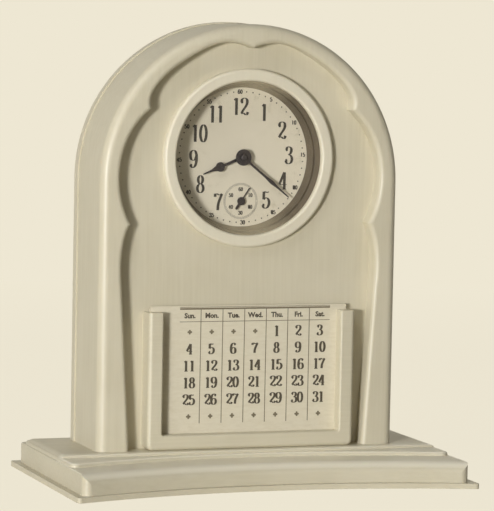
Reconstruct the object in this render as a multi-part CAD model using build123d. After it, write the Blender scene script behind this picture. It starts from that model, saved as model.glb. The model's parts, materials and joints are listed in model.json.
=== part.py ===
"""Arched desk clock with an open-topped calendar holder and a wind-up drum movement.

Millimetres, +Z up. The front faces -Y, +X is to the right of someone who reads the dial, and the
origin is the middle of the footprint, on the table. Each piece is written as its own STEP file.
"""
from build123d import *
import math
import os

# ---------------------------------------------------------------- base
BASE_WIDTH = 150.0
BASE_DEPTH = 90.0
FRONT_SWEEP = 12.5            # how far the middle of the hollow front lies behind its corners
FLANGE_HEIGHT = 1.9
FLANGE_OVERHANG = 2.7
FLANGE_CORNER = 1.2
BODY_HEIGHT = 7.3
BODY_WALL = 1.8
BODY_TOP_WALL = 2.0
BODY_ROUND_DEPTH = 5.0        # elliptical round along the front of the body
BODY_ROUND_HEIGHT = 3.7
BODY_EDGE_ROUND = 0.6
BODY_CORNER = 2.5
LOWER_STEP_HEIGHT = 1.4
LOWER_STEP_FRONT_INSET = 17.1
LOWER_STEP_BACK_INSET = 4.3
LOWER_STEP_CORNER = 2.5
LOWER_STEP_ROUND = 1.1
UPPER_STEP_HEIGHT = 0.9
UPPER_STEP_FRONT_LEDGE = 5.3
UPPER_STEP_BACK_LEDGE = 5.5
UPPER_STEP_CORNER = 1.2
UPPER_STEP_ROUND = 0.7
STEP_SIDE_INSET = 0.6
END_ROLL_WIDTH = 2.6            # elliptical roll down the ends of both steps
END_ROLL_HEIGHT = 2.0
CORE_CLEARANCE = 0.3

# ---------------------------------------------------------------- case
CASE_WIDTH = 113.3
CASE_RISE = 153.2             # crown of the arch above the upper step
CASE_DEPTH = 33.9
CASE_SETBACK = 39.6           # face of the case behind the front corners of the base
CASE_WALL = 2.2
FACE_ROUND = 3.3
OPENING_ROUND = 1.7
PANEL_RECESS = 6.4
PANEL_THICKNESS = 2.0
PANEL_CLEARANCE = 0.1
RIM_DEPTH = 5.0
RIM_OVERHANG = 0.5
RIM_ROUND = 1.2
BACK_PANEL_INSET = 0.6
BACK_PANEL_THICKNESS = 2.0
BLOCK_HEIGHT = 10.0

# Outline of the cusped opening, right half: half-widths, and heights above the upper step.
FOOT_HALF = 44.6
JAMB_HALF = 48.0
JAMB_TOP = 57.0
JAMB_BULGE = (48.3, 70.0)
LOWER_CUSP = (45.3, 81.4)
SHOULDER_END = (-0.75, 1.0)   # direction in which the jamb runs into the lower cusp
LOWER_LOBE_RISE = (48.7, 90.3)
LOWER_LOBE = (49.5, 100.0)
LOWER_LOBE_FALL = (46.4, 112.4)
UPPER_CUSP = (38.2, 122.6)
UPPER_LOBE_RISE = (38.4, 126.6)
UPPER_LOBE = (35.5, 131.8)
HEAD_LEAN = 62.0              # middle of the round head, in degrees up from the springing
HEAD_MARGIN = 6.1             # from the outside of the arch to the round head of the opening
CROWN_LOBE = (10.0, 146.5)
CROWN_LOBE_FALL = (4.8, 146.1)
CROWN_CUSP = 144.6

# ---------------------------------------------------------------- calendar holder and cards
HOLDER_WIDTH = 78.8
HOLDER_SHIFT = 1.0            # the holder stands a little right of the middle
HOLDER_HEIGHT = 49.7
HOLDER_DEPTH = 7.7
HOLDER_MEMBER = 5.5
HOLDER_BOTTOM_MEMBER = 5.5
HOLDER_LIP = 4.7
HOLDER_FLOOR = 2.4
HOLDER_ROUND = 1.5
HOLDER_CORNER = 2.2
WINDOW_ROUND = 0.8
CARD_WIDTH = 75.0
CARD_HEIGHT = 49.3
CARD_THICKNESS = 0.4
CARD_GAP = 0.05
CARD_SIDE_GAP = 0.2
SPARE_CARDS_THICKNESS = 1.4
SPARE_CARDS_DROP = 1.0
BACKING_THICKNESS = 1.0

# ---------------------------------------------------------------- drum, bezels and dial
DIAL_HEIGHT = 104.85          # dial centre above the upper step
DIAL_SHIFT = 0.2              # the drum sits a little right of the middle
DRUM_RADIUS = 28.3
DRUM_WALL = 0.6
DRUM_HOLE_CLEARANCE = 0.4
RING_WIDTH = 4.4
RING_HEIGHT = 2.8
RING_OUTER_ROUND = 1.1
RING_INNER_ROUND = 0.9
RING_LAP = 0.4                # how far the ivory ring laps over the shoulder of the metal bezel
BEZEL_GAP = 0.1
BEZEL_FRONT = 0.6             # front of the metal bezel, ahead of the panel
BEZEL_LIP = 0.3
BEZEL_THROAT_RADIUS = 25.3
BEZEL_SHOULDER = 2.2
BEZEL_SLEEVE_WALL = 0.45
BEZEL_WALL = 0.5
BEZEL_FLANGE = 1.8            # shoulder of the bezel behind the drum's mouth
CRYSTAL_EDGE = 1.2
CRYSTAL_DOME = 1.5
CRYSTAL_SETBACK = 2.3         # front of the glass edge behind the front of the bezel
GROOVE_DEPTH = 0.12
GROOVE_CLEARANCE = 0.05
DIAL_SETBACK = 6.8            # face of the dial behind the panel
DIAL_THICKNESS = 0.5
DIAL_CLEARANCE = 0.2
DIAL_HOLE_CLEARANCE = 0.35
SECONDS_DROP = 16.0
DIAL_FOOT_RADIUS = 0.4
DIAL_FOOT_CIRCLE = 21.0
DIAL_FOOT_ANGLES = (30.0, 150.0, 270.0)
DIAL_FOOT_STANDOUT = 0.3
LEDGE_WIDTH = 0.9             # ledge in the drum that the front plate seats on
LEDGE_THICKNESS = 0.8
COVER_THICKNESS = 0.8
COVER_SINK = 0.2
COVER_HOLE_CLEARANCE = 0.5
CLAMP_WIDTH = 6.6
CLAMP_THICKNESS = 0.8
CLAMP_LAP = 1.6
CLAMP_SCREWS = 3

# ---------------------------------------------------------------- hands
MINUTE_HAND_LENGTH = 22.9
MINUTE_HAND_ANGLE = 129.3     # degrees clockwise from the twelve
HOUR_HAND_LENGTH = 16.2
HOUR_HAND_ANGLE = 247.5
SECONDS_HAND_LENGTH = 5.6
SECONDS_HAND_TAIL = 3.2
SECONDS_HAND_ANGLE = 33.5
HAND_THICKNESS = 0.2
HAND_POST_RISE = 0.2          # the cannon pinion's pipe stands proud of the minute hand
HOUR_PIPE_RISE = 0.1
# Blades as (share of the length, half-width), and lengths along the hour hand.
MINUTE_BLADE = ((0, 0.4), (0.5, 0.42), (0.62, 0.75), (0.74, 0.42), (1, 0.2))
HOUR_ARM = (0.6, 0.45)
HOUR_TIP_SWELL = (1.5, 1.0)
HOUR_TIP_WAIST = (3.4, 0.4)
HAND_TIP_HALF = 0.2
SECONDS_HAND_WIDTH = 0.4
SECONDS_TAIL_WIDTH = 0.9
SECONDS_TAIL_START = 1.4
SECONDS_HUB_RADIUS = 1.5
SECONDS_HUB_HEIGHT = 0.4
SECONDS_BORE_DEPTH = 0.25
MINUTE_HUB_RADIUS = 3.0
HOUR_HUB_RADIUS = 2.4
SPADE_RADIUS = 1.75
SPADE_PLACE = 9.2
MINUTE_HAND_LIFT = 2.4        # back of each hand ahead of the dial
HOUR_HAND_LIFT = 1.4
SECONDS_HAND_LIFT = 0.6
CAP_RADIUS = 1.3
CAP_HEIGHT = 0.9
CAP_ROUND = 0.7

# ---------------------------------------------------------------- movement
# Teeth in modules: depth of the root and height of the tip; half-widths in circular pitches.
ROOT_DEPTH = 1.2
TIP_HEIGHT = 0.9
ROOT_HALF = 0.22
TIP_HALF = 0.09
MODULE = 0.33
FINE_MODULE = 0.30
MOTION_MODULE = 0.30
GREAT_TEETH = 66
CENTRE_PINION_TEETH = 12
CENTRE_TEETH = 64
THIRD_TEETH = 60
PINION_TEETH = 8
FOURTH_TEETH = 60
ESCAPE_PINION_TEETH = 6
ESCAPE_TEETH = 15
ESCAPE_RADIUS = 4.5
ESCAPE_TOOTH = 1.1
ESCAPE_TOOTH_ANGLES = (-9.0, 1.5, 3.0)    # root, heel of the tip, root
ESCAPE_RIM = 0.7
ESCAPE_HUB_RADIUS = 1.2
ESCAPE_ARBOR_RADIUS = 0.45
ESCAPE_ARM_WIDTH = 0.6
CANNON_TEETH = 12
MINUTE_WHEEL_TEETH = 36
MINUTE_PINION_TEETH = 10
HOUR_TEETH = 40
GREAT_ANGLE = 45.0
ESCAPE_ANGLE = 150.0
MINUTE_POST_ANGLE = 150.0
BALANCE_DISTANCE = 14.4
BALANCE_ANGLE = 159.7
BALANCE_RADIUS = 8.0
BALANCE_RIM = 0.9
BALANCE_HUB_RADIUS = 1.4
BALANCE_ARM_WIDTH = 1.1
ROLLER_RADIUS = 1.2
COLLET_RADIUS = 0.9
PALLET_DISTANCE = 6.4
PALLET_ELBOW = (2.3, 37.0)    # clear of the escape wheel's tips, and degrees off the line of centres
PALLET_TIP = (0.85, 50.0)
PALLET_ARM_WIDTH = 0.8
PALLET_TIP_WIDTH = 0.6
PALLET_HUB_RADIUS = 1.0
FORK_WIDTH = 0.9
FORK_ROOT = 3.2               # from the balance staff
FORK_HORN = (2.1, 24.0)
FORK_HORN_WIDTH = 0.5
PLATE_RADIUS = 25.5
PLATE_THICKNESS = 1.1
PLATE_GAP = 11.4
MOTION_SPACE = 3.9            # dial face to front plate
PILLAR_RADIUS = 1.2
PILLAR_CIRCLE = 23.2
PILLAR_ANGLES = (100.0, 205.0, 300.0, 355.0)
PIVOT_RADIUS = 0.3
RUNNING_FIT = 0.05
PRESSED_FIT = 0.02
END_SHAKE = 0.15
END_GAP = 0.1                 # between the end of an arbor and the bottom of its blind hole
ARBOR_RADIUS = 0.6
CENTRE_ARBOR_RADIUS = 0.7
CENTRE_COLLAR_RADIUS = 1.1
PIVOT_STANDIN = 0.2           # pivots end this far inside the plates' outer faces
CANNON_WALL = 0.23
HOUR_PIPE_WALL = 0.35
WINDING_ARBOR_RADIUS = 1.2
MAINSPRING_RADIUS = 10.0
MAINSPRING_TURNS = 7
MAINSPRING_STRIP = 0.35
MAINSPRING_HEIGHT = 4.2
RATCHET_RADIUS = 3.4
RATCHET_TEETH = 12
RATCHET_TOOTH = 0.7
RATCHET_RAKE = 2.0
CLICK_CIRCLE = 5.9
CLICK_PIN_RADIUS = 0.35
CLICK_PIN_STANDOUT = 0.2
CLICK_WIDTH = 0.6
CLICK_HUB_RADIUS = 0.8
CLICK_NOSE = (2.65, 2.85)     # from the great wheel's centre
CLICK_TAIL = (-1.3, 6.0)
CLICK_SPRING_POST = (-4.3, 3.9)
CLICK_SPRING_TIP = (-1.5, 4.95)
CLICK_SPRING_WIDTH = 0.3
CLICK_SPRING_POST_RADIUS = 0.6
HAIRSPRING_RADIUS = 5.0
HAIRSPRING_TURNS = 6
HAIRSPRING_STRIP = 0.2
HAIRSPRING_HEIGHT = 0.6
HAIRSPRING_INNER_RADIUS = 1.3
HAIRSPRING_STUD_RADIUS = 0.5
HAIRSPRING_STUD_GAP = 0.05
HAIRSPRING_STUD_RISE = 0.1
REGULATOR_REACH = 10.0
REGULATOR_ANGLE = 75.0
REGULATOR_SWING = 18.0
REGULATOR_HUB = 1.1           # width of the hub round its boss
BOSS_RADIUS = 1.4
BOSS_RISE = 0.1
TAIL_RADIUS = 0.6
TAIL_WIDTH = 1.6
TAIL_SLOT = 2.0
TAIL_STANDOUT = 0.9
KNOB_RADIUS = 4.0
KNOB_HEIGHT = 4.6
KNOB_GROOVES = 24
KNOB_GROOVE_RADIUS = 0.35
KNOB_GROOVE_OFFSET = 0.15
KNOB_NECK_RADIUS = 2.2
KNOB_NECK_HEIGHT = 0.8
KNOB_CAP = 1.1
KEY_WING_RADIUS = 4.4
KEY_SPAN = 8.6
KEY_THICKNESS = 1.2
KEY_HUB_RADIUS = 2.2
KEY_HUB_HEIGHT = 4.4
KEY_CAP = 1.1
KEY_WING_LAP = 0.6
KEY_WING_HOLE = 0.38          # share of the wing's radius
KEY_STEM_WIDTH = 3.2
KEY_STEM_LAP = 0.5
SPRING_CLEARANCE = 0.5        # mainspring round its arbor
MAINSPRING_POST_RADIUS = 0.8
MAINSPRING_POST_GAP = 0.05
MINUTE_POST_RADIUS = 0.5
MINUTE_POST_FRONT = 0.5
HUB_RADIUS = 1.8              # hubs of the third and fourth wheels
CENTRE_HUB_RADIUS = 2.2
WHEEL_RIM = 0.9
WHEEL_ARM_WIDTH = 0.9
WINDING_PIVOT_RADIUS = 0.9
STUD_RADIUS = 0.7
NUT_RADIUS = 1.6
NUT_HEIGHT = 1.2

# ---------------------------------------------------------------- fasteners
BASE_SCREW_RADIUS = 1.1
BASE_SCREW_HEAD = 2.2
BASE_SCREW_SIDE_INSET = 14.0
BASE_SCREW_FRONT_INSET = 18.0
BASE_SCREW_BACK_INSET = 12.0
BASE_SCREW_SINK = 0.2
BASE_SCREW_TIP_GAP = 0.6
BASE_SCREW_SLOT_WIDTH = 0.6
BASE_SCREW_SLOT_DEPTH = 0.5
CASE_SCREW_RADIUS = 1.2
CASE_SCREW_HEAD = 2.4
CASE_SCREW_HEAD_HEIGHT = 1.4
CASE_SCREW_SINK = 0.3
CASE_SCREW_SPACING = 76.0
CASE_SCREW_BITE = 6.5
SMALL_SCREW_RADIUS = 0.75
SMALL_SCREW_HEAD = 1.5
SMALL_SCREW_HEAD_HEIGHT = 0.6
SMALL_SCREW_SLOT_WIDTH = 0.35
SMALL_SCREW_TIP_GAP = 0.2
HOLE_CLEARANCE = 0.05

# ---------------------------------------------------------------- heights and depths that follow
BODY_BOTTOM = FLANGE_HEIGHT
BODY_TOP = BODY_BOTTOM + BODY_HEIGHT
CAVITY_TOP = BODY_TOP - BODY_TOP_WALL
LOWER_TOP = BODY_TOP + LOWER_STEP_HEIGHT
PLINTH = LOWER_TOP + UPPER_STEP_HEIGHT
BASE_FRONT = -BASE_DEPTH / 2
BASE_BACK = BASE_DEPTH / 2
BODY_HALF = BASE_WIDTH / 2 - FLANGE_OVERHANG
BODY_FRONT = BASE_FRONT + FLANGE_OVERHANG
BODY_BACK = BASE_BACK - FLANGE_OVERHANG

FACE = BASE_FRONT + CASE_SETBACK
CASE_BACK = FACE + CASE_DEPTH
PANEL = FACE + PANEL_RECESS
PANEL_BACK = PANEL + PANEL_THICKNESS
RIM_FRONT = CASE_BACK - RIM_DEPTH
BACK_FACE = CASE_BACK - BACK_PANEL_INSET
BACK_PANEL_FRONT = BACK_FACE - BACK_PANEL_THICKNESS
CASE_HALF = CASE_WIDTH / 2
ARCH_Z = PLINTH + CASE_RISE - CASE_HALF
INNER_HALF = CASE_HALF - CASE_WALL

HOLDER_FRONT = PANEL - HOLDER_DEPTH
POCKET_FRONT = HOLDER_FRONT + HOLDER_LIP
HOLDER_TOP = PLINTH + HOLDER_HEIGHT
CARD_BOTTOM = PLINTH + HOLDER_FLOOR
CARD_FRONT = POCKET_FRONT + CARD_GAP
CARD_BACK = CARD_FRONT + CARD_THICKNESS
SPARE_FRONT = CARD_BACK + CARD_GAP
POCKET_HALF = CARD_WIDTH / 2 + CARD_SIDE_GAP

DIAL_Z = PLINTH + DIAL_HEIGHT
DIAL = PANEL + DIAL_SETBACK
DIAL_BACK = DIAL + DIAL_THICKNESS
DRUM_FRONT = PANEL + BEZEL_SHOULDER
DRUM_INNER = DRUM_RADIUS - DRUM_WALL
PANEL_HOLE = DRUM_RADIUS + DRUM_HOLE_CLEARANCE
RING_INNER = DRUM_RADIUS - RING_LAP
SLEEVE_OUTER = DRUM_INNER - BEZEL_GAP / 2
SLEEVE_INNER = SLEEVE_OUTER - BEZEL_SLEEVE_WALL
FRONT_PLATE = DIAL + MOTION_SPACE
FRONT_PLATE_BACK = FRONT_PLATE + PLATE_THICKNESS
BACK_PLATE = FRONT_PLATE_BACK + PLATE_GAP
BACK_PLATE_BACK = BACK_PLATE + PLATE_THICKNESS
COVER_BACK = BACK_FACE - COVER_SINK
COVER_FRONT = COVER_BACK - COVER_THICKNESS

CANNON_INNER = CENTRE_ARBOR_RADIUS + PRESSED_FIT
CANNON_OUTER = CANNON_INNER + CANNON_WALL
PIPE_INNER = CANNON_OUTER + RUNNING_FIT
PIPE_OUTER = PIPE_INNER + HOUR_PIPE_WALL
MINUTE_HAND_BACK = DIAL - MINUTE_HAND_LIFT
HOUR_HAND_BACK = DIAL - HOUR_HAND_LIFT
SECONDS_HAND_BACK = DIAL - SECONDS_HAND_LIFT
CANNON_FRONT = MINUTE_HAND_BACK - HAND_THICKNESS - HAND_POST_RISE

# Depths in the movement, measured back from the front plate's inner face: start and thickness.
THIRD_PINION = (0.6, 1.4)
CENTRE_WHEEL = (0.8, 0.8)
MAINSPRING_START = 2.8
ESCAPE_PINION = (3.1, 1.2)
FOURTH_WHEEL = (3.4, 0.6)
ESCAPE_WHEEL = (5.9, 0.6)
PALLETS = (5.7, 0.8)
CENTRE_PINION = (6.6, 2.4)
BALANCE = (7.4, 1.2)
GREAT_WHEEL = (7.6, 1.2)
CLICK_LAYER = (8.85, 0.6)
RATCHET = (8.9, 0.8)
FOURTH_PINION = (9.0, 1.2)
THIRD_WHEEL = (9.2, 0.7)
HAIRSPRING_START = 9.2
REGULATOR = (10.4, 0.5)
# Depths in the motion work, measured back from the dial's rear face.
HOUR_WHEEL = (0.8, 0.7)
MINUTE_PINION = (0.8, 1.1)
CANNON_LEAVES = (1.8, 1.1)
MINUTE_WHEEL = (1.9, 0.8)


def polar(centre, distance, degrees):
    """Point at a distance and an angle from a centre, in X and Z."""
    angle = math.radians(degrees)
    return (centre[0] + distance * math.cos(angle), centre[1] + distance * math.sin(angle))


def heading(start, end):
    """Angle of the line from one point to another, in degrees."""
    return math.degrees(math.atan2(end[1] - start[1], end[0] - start[0]))


def centre_distance(first, second, module):
    """Distance between the arbors of two wheels in mesh."""
    return module * (first + second) / 2


def meeting_point(first, first_reach, second, second_reach):
    """Point to the right of two centres that lies at a given distance from each."""
    span = math.dist(first, second)
    along = (first_reach ** 2 - second_reach ** 2 + span ** 2) / (2 * span)
    aside = math.sqrt(first_reach ** 2 - along ** 2)
    line = heading(first, second)
    return polar(polar(first, along, line), aside, line + 90)


def clock_angle(degrees):
    """Turn degrees clockwise from the twelve into degrees from +X towards +Z."""
    return 90 - degrees


CENTRE = (DIAL_SHIFT, DIAL_Z)
FOURTH = (DIAL_SHIFT, DIAL_Z - SECONDS_DROP)
THIRD = meeting_point(CENTRE, centre_distance(CENTRE_TEETH, PINION_TEETH, MODULE),
                      FOURTH, centre_distance(THIRD_TEETH, PINION_TEETH, MODULE))
ESCAPE = polar(FOURTH, centre_distance(FOURTH_TEETH, ESCAPE_PINION_TEETH, FINE_MODULE), ESCAPE_ANGLE)
GREAT = polar(CENTRE, centre_distance(GREAT_TEETH, CENTRE_PINION_TEETH, MODULE), GREAT_ANGLE)
BALANCE_PLACE = polar(CENTRE, BALANCE_DISTANCE, BALANCE_ANGLE)
PALLET = polar(ESCAPE, PALLET_DISTANCE, heading(ESCAPE, BALANCE_PLACE))
MOTION_DISTANCE = centre_distance(CANNON_TEETH, MINUTE_WHEEL_TEETH, MOTION_MODULE)
MINUTE_POST = polar(CENTRE, MOTION_DISTANCE, MINUTE_POST_ANGLE)
HOUR_MODULE = 2 * MOTION_DISTANCE / (MINUTE_PINION_TEETH + HOUR_TEETH)


# ---------------------------------------------------------------- shape helpers
QUARTER = 90


def outline(*lines):
    """Face inside a closed run of lines and arcs."""
    return make_face([edge for line in lines for edge in line.edges()])


def slab(sketch, front, back):
    """Solid with an outline in X and Z, between two depths."""
    plane = Plane(origin=(0, back, 0), x_dir=(1, 0, 0), z_dir=(0, -1, 0))
    return extrude(plane * sketch, amount=back - front)


def disc(radius, front, back, place):
    """Round plate or pin along Y."""
    return slab(Pos(*place) * Circle(radius), front, back)


def ring(outer, inner, front, back, place):
    """Flat ring or tube along Y."""
    return slab(Pos(*place) * (Circle(outer) - Circle(inner)), front, back)


def turned(profile, place=CENTRE):
    """Solid turned about a line along Y, from a closed profile of (radius, depth) points."""
    plane = Plane(origin=(place[0], 0, place[1]), x_dir=(1, 0, 0), z_dir=(0, 0, 1))
    face = profile if isinstance(profile, Sketch) else outline(Polyline(*profile, close=True))
    return revolve(plane * face, Axis((place[0], 0, place[1]), (0, 1, 0)))


def stepped(place, start, *steps):
    """Round bar along Y with steps of (radius, depth of the step's end)."""
    profile = [(0, start)]
    depth = start
    for radius, end in steps:
        profile += [(radius, depth), (radius, end)]
        depth = end
    profile.append((0, depth))
    return turned(profile, place)


def upright(profile, x, y):
    """Solid turned about a vertical line, from a closed profile of (radius, height) points."""
    plane = Plane(origin=(x, y, 0), x_dir=(1, 0, 0), z_dir=(0, -1, 0))
    return revolve(plane * outline(Polyline(*profile, close=True)), Axis((x, y, 0), (0, 0, 1)))


def link(start, end, width):
    """Flat bar with round ends, drawn in X and Z."""
    middle = ((start[0] + end[0]) / 2, (start[1] + end[1]) / 2)
    bar = SlotCenterToCenter(math.dist(start, end), width)
    return Pos(*middle) * Rot(0, 0, heading(start, end)) * bar


def level(base, span):
    """Front and back depths of a layer that starts a given way behind a face."""
    return base + span[0], base + span[0] + span[1]


def arch(half, bottom):
    """Round-headed outline, concentric with the case."""
    legs = Polyline((half, ARCH_Z), (half, bottom), (-half, bottom), (-half, ARCH_Z))
    head = ThreePointArc((-half, ARCH_Z), (0, ARCH_Z + half), (half, ARCH_Z))
    return outline(legs, head)


def swept_plan(half, front, back):
    """Plan of a base layer, with its front hollowed in a shallow arc."""
    sides = Polyline((half, front), (half, back), (-half, back), (-half, front))
    hollow = ThreePointArc((-half, front), (0, front + FRONT_SWEEP), (half, front))
    return outline(sides, hollow)


def block(plan, bottom, top):
    """Solid with an outline in X and Y, between two heights."""
    return extrude(Pos(0, 0, bottom) * plan, amount=top - bottom)


def box(x0, x1, y0, y1, z0, z1):
    """Plain block between two corners."""
    return block(Pos((x0 + x1) / 2, (y0 + y1) / 2) * Rectangle(x1 - x0, y1 - y0), z0, z1)


def gear_outline(teeth, module, toward, space=False):
    """Outline of a wheel with slim straight flanks and a tooth, or a space, toward an angle."""
    pitch = math.pi * module
    root, tip = module * (teeth / 2 - ROOT_DEPTH), module * (teeth / 2 + TIP_HEIGHT)
    start = toward + (180 / teeth if space else 0)
    points = []
    for tooth in range(teeth):
        turn = math.radians(start + 360 * tooth / teeth)
        for radius, side in ((root, -ROOT_HALF), (tip, -TIP_HALF), (tip, TIP_HALF), (root, ROOT_HALF)):
            x, y = radius, side * pitch
            points.append((x * math.cos(turn) - y * math.sin(turn),
                           x * math.sin(turn) + y * math.cos(turn)))
    return outline(Polyline(*points, close=True))


def windows(outer, inner, arms, width):
    """The openings between the arms of a crossed-out wheel."""
    spaces = Circle(outer) - Circle(inner)
    for arm in range(arms):
        spaces -= Rot(0, 0, 360 * arm / arms) * Pos(outer / 2, 0) * Rectangle(outer * 1.1, width)
    return spaces


def toothed(teeth, module, span, base, place, toward, space=False, hub=None, bore=0.0, arms=4):
    """Wheel or pinion in its layer, crossed out round a hub where one is given."""
    shape = gear_outline(teeth, module, toward, space)
    if hub:
        shape -= windows(module * (teeth / 2 - ROOT_DEPTH) - WHEEL_RIM, hub, arms, WHEEL_ARM_WIDTH)
    if bore:
        shape -= Circle(bore)
    return slab(Pos(*place) * shape, *level(base, span))


def strip_spiral(inner, outer, turns, thickness):
    """Flat coil of strip drawn with half-turn arcs."""
    halves = 2 * turns
    growth = (outer - thickness - inner) / halves

    def side(offset):
        arcs = []
        for half in range(halves):
            near, far = inner + growth * half + offset, inner + growth * (half + 1) + offset
            sign = 1 if half % 2 == 0 else -1
            arcs.append(ThreePointArc((sign * near, 0), (0, sign * (near + far) / 2), (-sign * far, 0)))
        return arcs

    inside, outside = side(0), side(thickness)
    caps = [Line((inner, 0), (inner + thickness, 0)), Line((outer - thickness, 0), (outer, 0))]
    return outline(*inside, *outside, *caps)


def slotted_screw(seat, length, place):
    """Small screw along Y whose head faces the back, with its point toward the front."""
    head_back = seat + SMALL_SCREW_HEAD_HEIGHT
    body = stepped(place, seat - length, (SMALL_SCREW_RADIUS, seat), (SMALL_SCREW_HEAD, head_back))
    slot = Pos(*place) * Rectangle(3 * SMALL_SCREW_HEAD, SMALL_SCREW_SLOT_WIDTH)
    return body - slab(slot, seat + SMALL_SCREW_HEAD_HEIGHT / 2, head_back + 1)


def save(name, shape):
    """Write one node."""
    export_step(shape, f"parts/{name}.step")


# ---------------------------------------------------------------- base
BASE_SCREW_PLACES = [(side * (BODY_HALF - BASE_SCREW_SIDE_INSET), y)
                     for side in (-1, 1)
                     for y in (BODY_FRONT + BASE_SCREW_FRONT_INSET, BODY_BACK - BASE_SCREW_BACK_INSET)]
CASE_SCREW_Y = (PANEL_BACK + BACK_PANEL_FRONT) / 2
CASE_SCREW_PLACES = [(-CASE_SCREW_SPACING / 2, CASE_SCREW_Y), (CASE_SCREW_SPACING / 2, CASE_SCREW_Y)]
CASE_SCREW_START = FLANGE_HEIGHT + CASE_SCREW_SINK
CASE_SCREW_SHOULDER = CASE_SCREW_START + CASE_SCREW_HEAD_HEIGHT
STEP_HALF = BODY_HALF - STEP_SIDE_INSET


def base_screw_profile(clearance=0.0):
    """Countersunk wood screw, or its hole."""
    head, shank = BASE_SCREW_HEAD + clearance, BASE_SCREW_RADIUS + clearance
    neck = BASE_SCREW_SINK + BASE_SCREW_HEAD - BASE_SCREW_RADIUS
    end = CAVITY_TOP - BASE_SCREW_TIP_GAP + clearance
    mouth = [(0, 0), (head, 0)] if clearance else [(0, BASE_SCREW_SINK)]
    return mouth + [(head, BASE_SCREW_SINK), (shank, neck), (shank, end), (0, end)]


def case_screw_profile(clearance=0.0):
    """Long screw from the core up into the case block, or its hole."""
    head, shank = CASE_SCREW_HEAD + clearance, CASE_SCREW_RADIUS + clearance
    start = FLANGE_HEIGHT if clearance else CASE_SCREW_START
    end = PLINTH + CASE_SCREW_BITE + clearance
    shoulder = CASE_SCREW_SHOULDER
    return [(0, start), (head, start), (head, shoulder), (shank, shoulder), (shank, end), (0, end)]


def drilled(shape, places, profile):
    """Take a row of upright holes out of a shape."""
    for x, y in places:
        shape -= upright(profile, x, y)
    return shape


def base_flange():
    flange = block(swept_plan(BASE_WIDTH / 2, BASE_FRONT, BASE_BACK), 0, FLANGE_HEIGHT)
    flange = fillet(flange.edges().filter_by(Axis.Z), FLANGE_CORNER)
    return drilled(flange, BASE_SCREW_PLACES, base_screw_profile(HOLE_CLEARANCE))


def front_rounding():
    """Everything behind the elliptical round along the hollow front of the body."""
    radius = (BODY_HALF ** 2 + FRONT_SWEEP ** 2) / (2 * FRONT_SWEEP)
    centre_y = BODY_FRONT + FRONT_SWEEP - radius
    far = radius + 2 * BASE_DEPTH
    spring = BODY_TOP - BODY_ROUND_HEIGHT
    curve = EllipticalCenterArc((radius + BODY_ROUND_DEPTH, spring), BODY_ROUND_DEPTH,
                                BODY_ROUND_HEIGHT, start_angle=QUARTER, arc_size=QUARTER)
    edge = Polyline((radius, spring), (radius, 0), (far, 0), (far, BODY_TOP),
                    (radius + BODY_ROUND_DEPTH, BODY_TOP))
    plane = Plane(origin=(0, centre_y, 0), x_dir=(0, 1, 0), z_dir=(1, 0, 0))
    half_angle = 60
    tool = revolve(plane * outline(edge, curve), Axis((0, centre_y, 0), (0, 0, 1)), 2 * half_angle)
    return Pos(0, centre_y, 0) * Rot(0, 0, -half_angle) * Pos(0, -centre_y, 0) * tool


def base_body():
    body = block(swept_plan(BODY_HALF, BODY_FRONT, BODY_BACK), BODY_BOTTOM, BODY_TOP)
    body = fillet(body.edges().filter_by(Axis.Z), BODY_CORNER)
    body = fillet(body.edges().group_by(Axis.Z)[-1], BODY_EDGE_ROUND) & front_rounding()
    cavity = swept_plan(BODY_HALF - BODY_WALL, BODY_FRONT + BODY_WALL, BODY_BACK - BODY_WALL)
    body -= block(cavity, BODY_BOTTOM, CAVITY_TOP)
    return drilled(body, CASE_SCREW_PLACES, case_screw_profile(HOLE_CLEARANCE))


def base_core():
    inset = BODY_WALL + CORE_CLEARANCE
    plan = swept_plan(BODY_HALF - inset, BODY_FRONT + inset, BODY_BACK - inset)
    core = block(plan, FLANGE_HEIGHT, CAVITY_TOP)
    core = drilled(core, BASE_SCREW_PLACES, base_screw_profile(HOLE_CLEARANCE))
    return drilled(core, CASE_SCREW_PLACES, case_screw_profile(HOLE_CLEARANCE))


def end_rolls():
    """Everything inside the elliptical rolls down both ends of the steps."""
    flat = STEP_HALF - END_ROLL_WIDTH
    spring = PLINTH - END_ROLL_HEIGHT
    roll = EllipticalCenterArc((flat, spring), END_ROLL_WIDTH, END_ROLL_HEIGHT, start_angle=0,
                               arc_size=QUARTER)
    right = [Line((STEP_HALF, BODY_TOP), (STEP_HALF, spring)), roll]
    left = [mirror(piece, about=Plane.YZ) for piece in right]
    foot = Line((-STEP_HALF, BODY_TOP), (STEP_HALF, BODY_TOP))
    top = Line((-flat, PLINTH), (flat, PLINTH))
    return slab(outline(*right, *left, foot, top), BASE_FRONT, BASE_BACK)


def lower_step():
    plan = swept_plan(STEP_HALF, BODY_FRONT + LOWER_STEP_FRONT_INSET, BODY_BACK - LOWER_STEP_BACK_INSET)
    step = block(plan, BODY_TOP, LOWER_TOP)
    step = fillet(step.edges().filter_by(Axis.Z), LOWER_STEP_CORNER)
    step = fillet(step.edges().group_by(Axis.Z)[-1], LOWER_STEP_ROUND) & end_rolls()
    return drilled(step, CASE_SCREW_PLACES, case_screw_profile(HOLE_CLEARANCE))


def upper_step():
    step = box(-STEP_HALF, STEP_HALF, FACE - UPPER_STEP_FRONT_LEDGE, CASE_BACK + UPPER_STEP_BACK_LEDGE,
               LOWER_TOP, PLINTH)
    step = fillet(step.edges().filter_by(Axis.Z), UPPER_STEP_CORNER)
    step = fillet(step.edges().group_by(Axis.Z)[-1], UPPER_STEP_ROUND) & end_rolls()
    return drilled(step, CASE_SCREW_PLACES, case_screw_profile(HOLE_CLEARANCE))


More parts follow.
